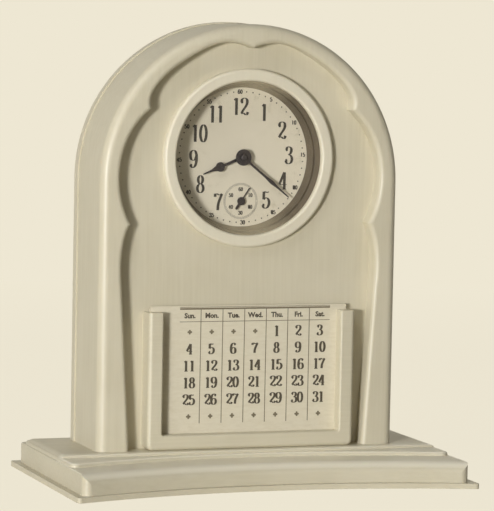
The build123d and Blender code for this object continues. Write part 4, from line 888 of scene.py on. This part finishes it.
@dataclass(frozen=True)
class TypeStyle:
    """A cut of figures, in shares of their height, from the ink's face in front to its back."""

    name: str
    thick: float
    thin: float
    narrow: float
    advance: float
    front: float
    back: float
    footed: bool = False
    swell: float = 1.5
    dot: float = 1.0


DIAL_TYPE = TypeStyle("dial", thick=0.16, thin=0.035, narrow=0.86, advance=0.47, front=-0.006, back=0.002)
SMALL_TYPE = TypeStyle("small", thick=0.26, thin=0.12, narrow=1.0, advance=0.62, front=-0.02, back=0.006,
                       swell=1.3, dot=1.2)
CARD_TYPE = TypeStyle("calendar", thick=0.23, thin=0.06, narrow=1.05, advance=0.60, front=-0.008,
                      back=0.003, footed=True, swell=1.4, dot=1.2)


class TypeCase:
    """The ten figures of one style, ready for printing."""

    def __init__(self, style: TypeStyle) -> None:
        """Cut the figures of a style.

        Args:
            style: Cut of the figures.
        """
        self.style = style
        self.collection = bpy.data.collections.new("type_" + style.name)
        bpy.context.scene.collection.children.link(self.collection)
        for figure in "0123456789":
            mesh = prism(self.polygons(figure), style.front, style.back)
            self.collection.objects.link(bpy.data.objects.new(f"{style.name}_{figure}", mesh))

    def polygons(self, figure: str) -> list[list[Point]]:
        """Polygons whose union is a figure, centred on the origin.

        Args:
            figure: Any figure.

        Returns:
            The polygons, in shares of its height.
        """
        turned = figure == "9"
        strokes = strokes_of("6" if turned else figure)
        if figure == "1" and not self.style.footed:
            strokes = strokes[:2]
        found = [quad for run, points in strokes for quad in self.stroke(run, points)]
        sign = -1 if turned else 1
        middle_x, middle_z = FIGURE_MIDDLE
        return [[(sign * (x - middle_x) * self.style.narrow, sign * (z - middle_z)) for x, z in quad]
                for quad in found]

    def stroke(self, run: Run, points: Sequence[Point]) -> list[list[Point]]:
        """Polygons of one stroke.

        Args:
            run: How its points are joined.
            points: Its points. A round stroke gives its middle and half sizes, a dot its middle and radius.

        Returns:
            The polygons.
        """
        if run is Run.DOT:
            return [round_points(points[0], points[1][0] * self.style.dot / self.style.narrow, DOT_STEPS,
                                 self.style.narrow)]
        if run is Run.ROUND:
            (x, z), (wide, tall) = points
            line = [(x + wide * math.cos(turn), z + tall * math.sin(turn))
                    for turn in (TURN * i / ROUND_STEPS for i in range(ROUND_STEPS + 1))]
        else:
            line = smooth_line(points) if run is Run.SMOOTH else list(points)
        return self.ribbon(line, run is Run.ROUND)

    def ribbon(self, line: Sequence[Point], closed: bool) -> list[list[Point]]:
        """Quads along a line, as wide as the pen's direction makes them.

        Args:
            line: Points of the line.
            closed: Whether its ends meet.

        Returns:
            The quads.
        """
        style = self.style
        left: list[Point] = []
        right: list[Point] = []
        last = len(line) - 1
        for i, (x, z) in enumerate(line):
            before = line[last - 1 if closed and i == 0 else max(i - 1, 0)]
            after = line[1 if closed and i == last else min(i + 1, last)]
            run_x, run_z = (after[0] - before[0]) * style.narrow, after[1] - before[1]
            length = math.hypot(run_x, run_z) or 1.0
            slope = abs(run_z) / length
            half = (style.thin + (style.thick - style.thin) * slope ** style.swell) / 2
            out_x, out_z = -run_z / length * half / style.narrow, run_x / length * half
            left.append((x + out_x, z + out_z))
            right.append((x - out_x, z - out_z))
        return [[right[i], right[i + 1], left[i + 1], left[i]] for i in range(last)]


def smooth_line(points: Sequence[Point], steps: int = 6) -> list[Point]:
    """Smooth line through points.

    Args:
        points: The points, in order.
        steps: Parts that each stretch is split into.

    Returns:
        The points of the line.
    """
    ends = [points[0], *points, points[-1]]
    line = [points[0]]
    for a, b, c, d in zip(ends, ends[1:], ends[2:], ends[3:]):
        for i in range(1, steps + 1):
            t = i / steps
            line.append(tuple(0.5 * (2 * q + (r - p) * t + (2 * p - 5 * q + 4 * r - s) * t * t
                                     + (3 * q - p - 3 * r + s) * t ** 3)
                              for p, q, r, s in zip(a, b, c, d)))
    return line


class Workshop:
    """Trees, type and stamps that the sub-assemblies share."""

    def __init__(self) -> None:
        """Build the shared trees and cut the type."""
        self.ring = RingPattern()
        self.row = RowPattern()
        self.type = TypePattern()
        self.stamps: list[Object] = []
        self.dial_type = TypeCase(DIAL_TYPE)
        self.small_type = TypeCase(SMALL_TYPE)
        self.card_type = TypeCase(CARD_TYPE)

    def stamp(self, polygons: Sequence[Sequence[Point]], front: float = -INK_DEPTH,
              back: float = INK_DEPTH / 3) -> Object:
        """Small flat solid that a pattern repeats, as deep as ink unless it says otherwise."""
        self.stamps.append(placed("stamp", prism(polygons, front, back)))
        return self.stamps[-1]

    def set_type(self, name: str, case: TypeCase, lines: Iterable[Line], depth: float, body: str,
                 ink: Ink) -> None:
        """Print numbers, each centred on a point, as one piece.

        Args:
            name: Piece name.
            case: Type that the numbers are set in.
            lines: Figures, middle and height of each number.
            depth: Depth of the face that takes the print.
            body: Body that the print rides on.
            ink: Its finish.
        """
        places, which, sizes = [], [], []
        for text, (x, z), height in lines:
            advance = case.style.advance * height
            for i, figure in enumerate(text):
                places.append((x + (i - (len(text) - 1) / 2) * advance, depth, z))
                which.append(int(figure))
                sizes.append(height)
        points = bpy.data.meshes.new("type_places")
        points.from_pydata(places, [], [])
        points.attributes.new("figure", "INT", "POINT").data.foreach_set("value", which)
        points.attributes.new("size", "FLOAT", "POINT").data.foreach_set("value", sizes)
        publish(name, self.type.grow(ink, points, Type=case.collection), body, ink)

    def clear(self) -> None:
        """Remove the type and the stamps once all is printed."""
        for case in (self.dial_type, self.small_type, self.card_type):
            for letter in list(case.collection.objects):
                bpy.data.objects.remove(letter)
            bpy.data.collections.remove(case.collection)
        for stamp in self.stamps:
            bpy.data.objects.remove(stamp)


# ---- base and case
@dataclass
class Base:
    """Swept base: flange, moulded shell and the two steps."""

    flange_round: float = 0.45 * MM

    def build(self) -> None:
        """Dress the base."""
        dress(IVORY_MOULDED, "base_body", "base_lower_step", "base_upper_step")
        softened("base_flange", IVORY_ACROSS, self.flange_round, "flange_sheet")
        dress(CORE, "base_core")
        dress(SCREW, "base_screws", "case_screws")


@dataclass
class Case:
    """Arched case: cusped front frame, wall, rear bead, panels and the ring round the dial."""

    def build(self) -> None:
        """Dress the case."""
        dress(IVORY_UP, "front_frame", "case_band", "rear_rim", "front_panel", "back_panel")
        # The ring wears the lighter copy of the ivory, which is painted light.
        dress(IVORY_RING_PAINTED_LIGHT, "bezel_ring")
        dress(CORE, "case_block")


@dataclass
class Calendar:
    """Open-topped holder with its printed cards."""

    middle: float = 3.4 * MM
    pitch: float = 8.34 * MM
    row_pitch: float = 6.13 * MM
    first_row: float = 53.7 * MM
    heavy_rule: float = 62.1 * MM
    fine_rule: float = 62.72 * MM
    header_rule: float = 57.45 * MM
    cross_rule_halves: tuple[float, ...] = (0.3 * MM, 0.1 * MM, 0.11 * MM)
    column_rule_half: float = 0.14 * MM
    rule_reach: float = 3.46
    rule_foot: float = 20.5 * MM
    name_row: float = 59.55 * MM
    name_size: float = 2.5 * MM
    figure_height: float = 3.9 * MM
    petal_reach: float = 0.52 * MM
    petal: float = 0.38 * MM
    flower_eye: float = 0.4 * MM
    start_column: int = 4
    days: int = 31
    weeks: int = 5
    names: tuple[str, ...] = ("Sun.", "Mon.", "Tue.", "Wed.", "Thu.", "Fri.", "Sat.")
    sheets: int = 4
    sheet_share: float = 0.9

    def build(self, shop: Workshop) -> None:
        """Dress the holder and print the card.

        Args:
            shop: Shared trees, type and stamps.
        """
        dress(IVORY_ACROSS, "calendar_holder", "calendar_backing")
        dress(CARD, "calendar_card")
        self.print_card(shop)
        self.stack_spares(shop)

    def column(self, index: float) -> float:
        """Middle of a column, or a rule at a half step."""
        return self.middle + (index - 3) * self.pitch

    def print_card(self, shop: Workshop) -> None:
        """Rules, ornaments, figures and weekday names.

        Args:
            shop: Shared trees, type and stamps.
        """
        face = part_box("calendar_card")[0].y
        cells = [divmod(day + self.start_column, len(self.names)) for day in range(self.days)]
        figures = [(str(day), (self.column(column), self.first_row - row * self.row_pitch),
                    self.figure_height) for day, (row, column) in enumerate(cells, 1)]
        shop.set_type("calendar_figures", shop.card_type, figures, face, "card", INK)

        rule = shop.stamp([bar(self.column_rule_half, (self.heavy_rule - self.rule_foot) / 2)])
        publish("calendar_column_rules", shop.row.grow(
            RULE_INK, Piece=rule, Count=len(self.names) - 1, Step=(self.pitch, 0, 0),
            Start=(self.column(0.5), face, (self.heavy_rule + self.rule_foot) / 2)), "card", RULE_INK)

        heights = (self.heavy_rule, self.fine_rule, self.header_rule)
        lines = [[(self.middle + x, height + z) for x, z in bar(self.rule_reach * self.pitch, half)]
                 for height, half in zip(heights, self.cross_rule_halves)]
        # They stand a little proud of the column rules that they cross.
        cross = prism(lines, face - 1.1 * INK_DEPTH, face + INK_DEPTH / 3)
        publish("calendar_cross_rules", cross, "card", RULE_INK)

        petals = [round_points((self.petal_reach * math.cos(turn), self.petal_reach * math.sin(turn)),
                               self.petal) for turn in (TURN * k / 4 for k in range(4))]
        flower = shop.stamp([*petals, round_points((0, 0), self.flower_eye)])
        rows = [(self.start_column, self.first_row),
                (len(self.names), self.first_row - self.weeks * self.row_pitch)]
        ornaments = [shop.row.grow(RULE_INK, Piece=flower, Count=count, Step=(self.pitch, 0, 0),
                                   Start=(self.column(0), face, height)) for count, height in rows]
        publish("calendar_ornaments", joined("ornaments", ornaments), "card", RULE_INK)
        names = [lettering(name, (self.column(i), self.name_row), self.name_size,
                           face - INK_DEPTH, face + INK_DEPTH / 3) for i, name in enumerate(self.names)]
        publish("calendar_weekdays", joined("weekdays", names), "card", INK)

    def stack_spares(self, shop: Workshop) -> None:
        """Separate sheets in place of the block of spare cards.

        Args:
            shop: Shared trees, type and stamps.
        """
        low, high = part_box("spare_cards")
        pitch = (high.y - low.y) / self.sheets
        half, height = (high.x - low.x) / 2, (high.z - low.z) / 2
        sheet = shop.stamp([bar(half, height)], 0.0, pitch * self.sheet_share)
        stack = shop.row.grow(CARD, Piece=sheet, Count=self.sheets, Step=(0, pitch, 0),
                              Start=((low.x + high.x) / 2, low.y, (low.z + high.z) / 2))
        publish("spare_card_sheets", stack, "spares", CARD, ("spare_cards",))


def lettering(text: str, middle: Point, height: float, front: float, back: float) -> Mesh:
    """Small raised lettering in the built-in face.

    Args:
        text: Words.
        middle: Middle of the words, across and up.
        height: Size of the letters in metres.
        front: Depth of their face.
        back: Depth of their back.

    Returns:
        The mesh, in place.
    """
    curve = bpy.data.curves.new("letters", "FONT")
    curve.body = text
    curve.size = height
    curve.align_x = "CENTER"
    curve.align_y = "CENTER"
    curve.extrude = (back - front) / 2
    curve.offset = LETTER_WEIGHT * height
    curve.resolution_u = 2
    mesh = evaluated(placed("letters_draft", curve))
    place = Matrix.Translation((middle[0], (front + back) / 2, middle[1]))
    mesh.transform(place @ Matrix.Rotation(TURN / 4, 4, "X"))
    return mesh


# ---- dial, glass and hands
@dataclass
class Dial:
    """Silvered dial with its printing, behind the dark bezel and the glass."""

    hours: tuple[int, ...] = (12, 1, 2, 3, 4, 5, 7, 8, 9, 10, 11)
    hour_circle: float = 18.4 * MM
    hour_height: float = 6.5 * MM
    minute_circle: float = 23.8 * MM
    lean: float = -2.3 / 360
    minute_height: float = 1.5 * MM
    dot: float = 0.26 * MM
    seconds_drop: float = 16.0 * MM
    seconds_figures: float = 4.3 * MM
    seconds_height: float = 1.35 * MM
    seconds_track: float = 6.2 * MM
    rings: tuple[float, ...] = (5.9 * MM, 6.5 * MM)
    ring_half: float = 0.035 * MM
    mark: Point = (0.28 * MM, 0.05 * MM)
    minutes: int = 60
    minute_step: int = 5
    seconds_step: int = 10

    def build(self, shop: Workshop) -> None:
        """Dress the dial and print it.

        Args:
            shop: Shared trees, type and stamps.
        """
        dress(DIAL_SILVER, "dial")
        dress(BRASS, "dial_feet")
        dress(BEZEL, "metal_bezel")
        dress(CLEAR, "crystal")
        low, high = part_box("dial")
        face = low.y
        centre = ((low.x + high.x) / 2, (low.z + high.z) / 2)
        self.print_hours(shop, centre, face)
        self.print_minutes(shop, centre, face)
        self.print_seconds(shop, (centre[0], centre[1] - self.seconds_drop), face)

    def print_hours(self, shop: Workshop, centre: Point, face: float) -> None:
        """Tall upright figures for the hours.

        Args:
            shop: Shared trees, type and stamps.
            centre: Middle of the dial.
            face: Depth of its face.
        """
        hours = [(str(hour), on_clock(centre, self.hour_circle, hour / 12 + self.lean), self.hour_height)
                 for hour in self.hours]
        shop.set_type("dial_hour_figures", shop.dial_type, hours, face, "case", DIAL_INK)

    def print_minutes(self, shop: Workshop, centre: Point, face: float) -> None:
        """Small figures every five minutes, with a dot for each minute between them.

        Args:
            shop: Shared trees, type and stamps.
            centre: Middle of the dial.
            face: Depth of its face.
        """
        figures = [(str(minute), on_clock(centre, self.minute_circle, minute / self.minutes + self.lean),
                    self.minute_height)
                   for minute in range(self.minute_step, self.minutes + 1, self.minute_step)]
        shop.set_type("dial_minute_figures", shop.small_type, figures, face, "case", DIAL_INK)
        dot = shop.stamp([round_points((0, 0), self.dot)])
        place = (centre[0], face, centre[1])
        dots = shop.ring.grow(DIAL_INK, Piece=dot, Count=self.minutes, Radius=self.minute_circle,
                              Centre=place, Skip=self.minute_step)
        middle = Matrix.Translation(place)
        dots.transform(middle @ Matrix.Rotation(TURN * self.lean, 4, "Y") @ middle.inverted())
        publish("dial_minute_dots", dots, "case", DIAL_INK)

    def print_seconds(self, shop: Workshop, centre: Point, face: float) -> None:
        """Small dial with a ring, sixty marks and six figures.

        Args:
            shop: Shared trees, type and stamps.
            centre: Middle of the dial.
            face: Depth of its face.
        """
        figures = [(str(second), on_clock(centre, self.seconds_figures, second / self.minutes),
                    self.seconds_height)
                   for second in range(self.seconds_step, self.minutes + 1, self.seconds_step)]
        shop.set_type("seconds_figures", shop.small_type, figures, face, "case", DIAL_INK)
        marks = shop.ring.grow(DIAL_INK, Piece=shop.stamp([bar(*self.mark)]), Count=self.minutes,
                               Radius=self.seconds_track, Centre=(centre[0], face, centre[1]),
                               Skip=self.minutes)
        publish("seconds_marks", marks, "case", DIAL_INK)
        quads = [quad for radius in self.rings for quad in circle_line(centre, radius, self.ring_half)]
        publish("seconds_rings", prism(quads, face - INK_DEPTH, face + INK_DEPTH / 3), "case", DIAL_INK)


def on_clock(centre: Point, radius: float, share: float) -> Point:
    """Point a share of the way round a clock face."""
    return centre[0] + radius * math.sin(TURN * share), centre[1] + radius * math.cos(TURN * share)


def circle_line(centre: Point, radius: float, half: float, steps: int = 72) -> list[list[Point]]:
    """Quads of a thin round line.

    Args:
        centre: Its middle.
        radius: Its radius in metres.
        half: Half its width.
        steps: Number of quads.

    Returns:
        The quads.
    """
    inner = [on_clock(centre, radius - half, i / steps) for i in range(steps + 1)]
    outer = [on_clock(centre, radius + half, i / steps) for i in range(steps + 1)]
    return [[inner[i], inner[i + 1], outer[i + 1], outer[i]] for i in range(steps)]


@dataclass
class Hands:
    """Blued hands and their cap."""

    def build(self) -> None:
        """Dress the hands."""
        dress(BLUED, "minute_hand", "hour_hand", "seconds_hand", "centre_cap")


# ---- movement and back
@dataclass
class Movement:
    """Wind-up movement in its drum, with the key and the knob at the back."""

    brass: tuple[str, ...] = ("front_plate", "back_plate", "centre_wheel", "third_wheel", "fourth_wheel",
                              "great_wheel", "minute_wheel", "hour_wheel", "balance_wheel", "escape_wheel")
    steel: tuple[str, ...] = ("plate_pillars", "centre_arbor", "pallet_lever", "hairspring_stud",
                              "regulator_lever", "click", "ratchet_wheel", "winding_arbor", "mainspring_post",
                              "cannon_pinion", "minute_wheel_post", "pillar_nuts")

    def build(self) -> None:
        """Dress the movement and the back."""
        dress(BRASS, *self.brass)
        dress(STEEL, *self.steel)
        dress(SPRING, "mainspring", "hairspring", "click_spring")
        dress(NICKEL, "movement_can", "clamp_ring", "winding_key", "set_knob", "back_cover")
        dress(SCREW, "clamp_screws")


# ---- studio
@dataclass(frozen=True)
class Lamp:
    """A round lamp that points at the clock, in degrees from the front and above the table, metres and
    watts. Where it isn't mirrored, polished surfaces don't show it.
    """

    name: str
    bearing: float
    height: float
    distance: float
    size: float
    power: float
    mirrored: bool = True


@dataclass
class Studio:
    """Pale sweep, light from the left, a little from behind, and the camera."""

    paper: Colour = colour(238, 231, 211)
    lamps: tuple[Lamp, ...] = (Lamp("key_light", -43.0, 3.0, 1.5, 0.25, 17.7),
                               Lamp("fill_light", 62.0, 8.0, 1.6, 0.9, 0.4),
                               Lamp("upper_light", -52.0, 48.0, 1.5, 0.5, 5.0),
                               Lamp("back_light", 142.0, -1.3, 1.6, 0.07, 8.0, mirrored=False))
    lamp_tint: Colour = (1.0, 0.99, 0.965)
    air_tint: Colour = (1.0, 0.985, 0.96)
    air_strength: float = 0.045
    azimuth: float = -19.534
    elevation: float = 4.523
    roll: float = 1.126
    distance: float = 1.0847
    target: tuple[float, float, float] = (-0.001423, -0.005, 0.081484)
    lens: float = 211.9
    film: float = 36.0
    floor_half: float = 8.0
    floor_front: float = -6.0
    bend_start: float = 1.2
    bend: float = 1.5
    bend_steps: int = 16
    backdrop_top: float = 7.0
    paper_share: float = 0.97
    paper_reach: Point = (0.45, 0.8)

    def build(self) -> None:
        """Set floor, lights and camera."""
        self.lay_floor()
        self.light_world()
        for lamp in self.lamps:
            self.hang(lamp)
        self.set_camera()

    def background(self, graph: Graph, share: Number) -> Value:
        """How far a ray sees the plain paper colour instead of the lit surface.

        Args:
            graph: Graph of the floor or of the world.
            share: The most that it may be.

        Returns:
            A share from nought to one.
        """
        path = graph.node("ShaderNodeLightPath").outputs
        seen = Value(graph, path["Is Camera Ray"]) + Value(graph, path["Is Glossy Ray"])
        return (seen + Value(graph, path["Is Transmission Ray"])).clamped() * share

    def lay_floor(self) -> None:
        """Floor that curves up into a backdrop far behind."""
        profile = [(self.floor_front, 0.0), (self.bend_start, 0.0)]
        profile += [(self.bend_start + self.bend * math.sin(a), self.bend - self.bend * math.cos(a))
                    for a in (TURN / 4 * k / self.bend_steps for k in range(1, self.bend_steps + 1))]
        profile.append((self.bend_start + self.bend, self.backdrop_top))
        verts = [(x, y, z) for x in (-self.floor_half, self.floor_half) for y, z in profile]
        count = len(profile)
        faces = [(i, i + count, i + count + 1, i + 1) for i in range(count - 1)]
        mesh = bpy.data.meshes.new("studio_floor")
        mesh.from_pydata(verts, [], faces)
        mesh.shade_smooth()
        floor = placed("studio_floor", mesh)
        material = bpy.data.materials.new("studio_paper")
        material.use_nodes = True
        graph = Graph(material.node_tree)
        matt = graph.node("ShaderNodeBsdfDiffuse", None, {"Color": self.paper})
        glow = graph.node("ShaderNodeEmission", None, {"Color": self.paper, "Strength": 1.0})
        across, along, _ = graph.parts(graph.place())
        away = ((across * across + along * along) ** 0.5).between(*self.paper_reach)
        share = self.paper_share + away * (1.0 - self.paper_share)
        graph.finish(graph.node("ShaderNodeMixShader", None, {
            0: self.background(graph, share), 1: matt, 2: glow}))
        mesh.materials.append(material)
        floor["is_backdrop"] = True

    def light_world(self) -> None:
        """Even light from all round, and the paper colour for what looks past the floor."""
        world = bpy.data.worlds.new("studio_air")
        bpy.context.scene.world = world
        world.use_nodes = True
        graph = Graph(world.node_tree)
        air = graph.node("ShaderNodeBackground", None, {
            "Color": self.air_tint, "Strength": self.air_strength})
        paper = graph.node("ShaderNodeBackground", None, {"Color": self.paper, "Strength": 1.0})
        graph.finish(graph.node("ShaderNodeMixShader", None, {
            0: self.background(graph, 1.0), 1: air, 2: paper}), "ShaderNodeOutputWorld")

    def hang(self, lamp: Lamp) -> None:
        """Add a lamp.

        Args:
            lamp: Its place, size and power.
        """
        light = bpy.data.lights.new(lamp.name, "AREA")
        light.shape = "DISK"
        light.size = lamp.size
        light.energy = lamp.power
        light.color = self.lamp_tint
        holder = placed(lamp.name, light)
        back = direction(lamp.bearing, lamp.height)
        holder.location = Vector(self.target) + back * lamp.distance
        holder.rotation_euler = back.to_track_quat("Z", "Y").to_euler()
        holder.visible_glossy = lamp.mirrored

    def set_camera(self) -> None:
        """Camera at the viewing angle, with a slight roll."""
        back = direction(self.azimuth, self.elevation)
        right = (-back).cross(Vector((0, 0, 1))).normalized()
        up = right.cross(-back)
        roll = math.radians(self.roll)
        across = right * math.cos(roll) + up * math.sin(roll)
        upward = up * math.cos(roll) - right * math.sin(roll)
        place = Matrix((across, upward, back)).transposed().to_4x4()
        place.translation = Vector(self.target) + back * self.distance
        lens = bpy.data.cameras.new("studio_camera")
        lens.lens = self.lens
        lens.sensor_width = self.film
        lens.clip_start = 10 * MM
        camera = placed("studio_camera", lens)
        camera.matrix_world = place
        bpy.context.scene.camera = camera


def direction(bearing: float, height: float) -> Vector:
    """Unit vector toward something at a bearing from the front and a height, in degrees."""
    turn, rise = math.radians(bearing), math.radians(height)
    return Vector((math.sin(turn) * math.cos(rise), -math.cos(turn) * math.cos(rise), math.sin(rise)))


def corners(box: Iterable[Iterable[float]]) -> list[list[float]]:
    """A box as plain lists of numbers."""
    return [[float(x) for x in corner] for corner in box]


def main() -> None:
    """Build the clock's looks around the frame."""
    logging.basicConfig(level=logging.INFO, format="%(name)s %(message)s")
    cad_box = corners(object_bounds())
    shop = Workshop()
    Base().build()
    Case().build()
    Calendar().build(shop)
    Dial().build(shop)
    Hands().build()
    Movement().build()
    shop.clear()
    Studio().build()
    bpy.context.scene.view_settings.view_transform = "Standard"
    {"cad": cad_box, "visual": corners(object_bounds())}


if __name__ == "__main__":
    main()
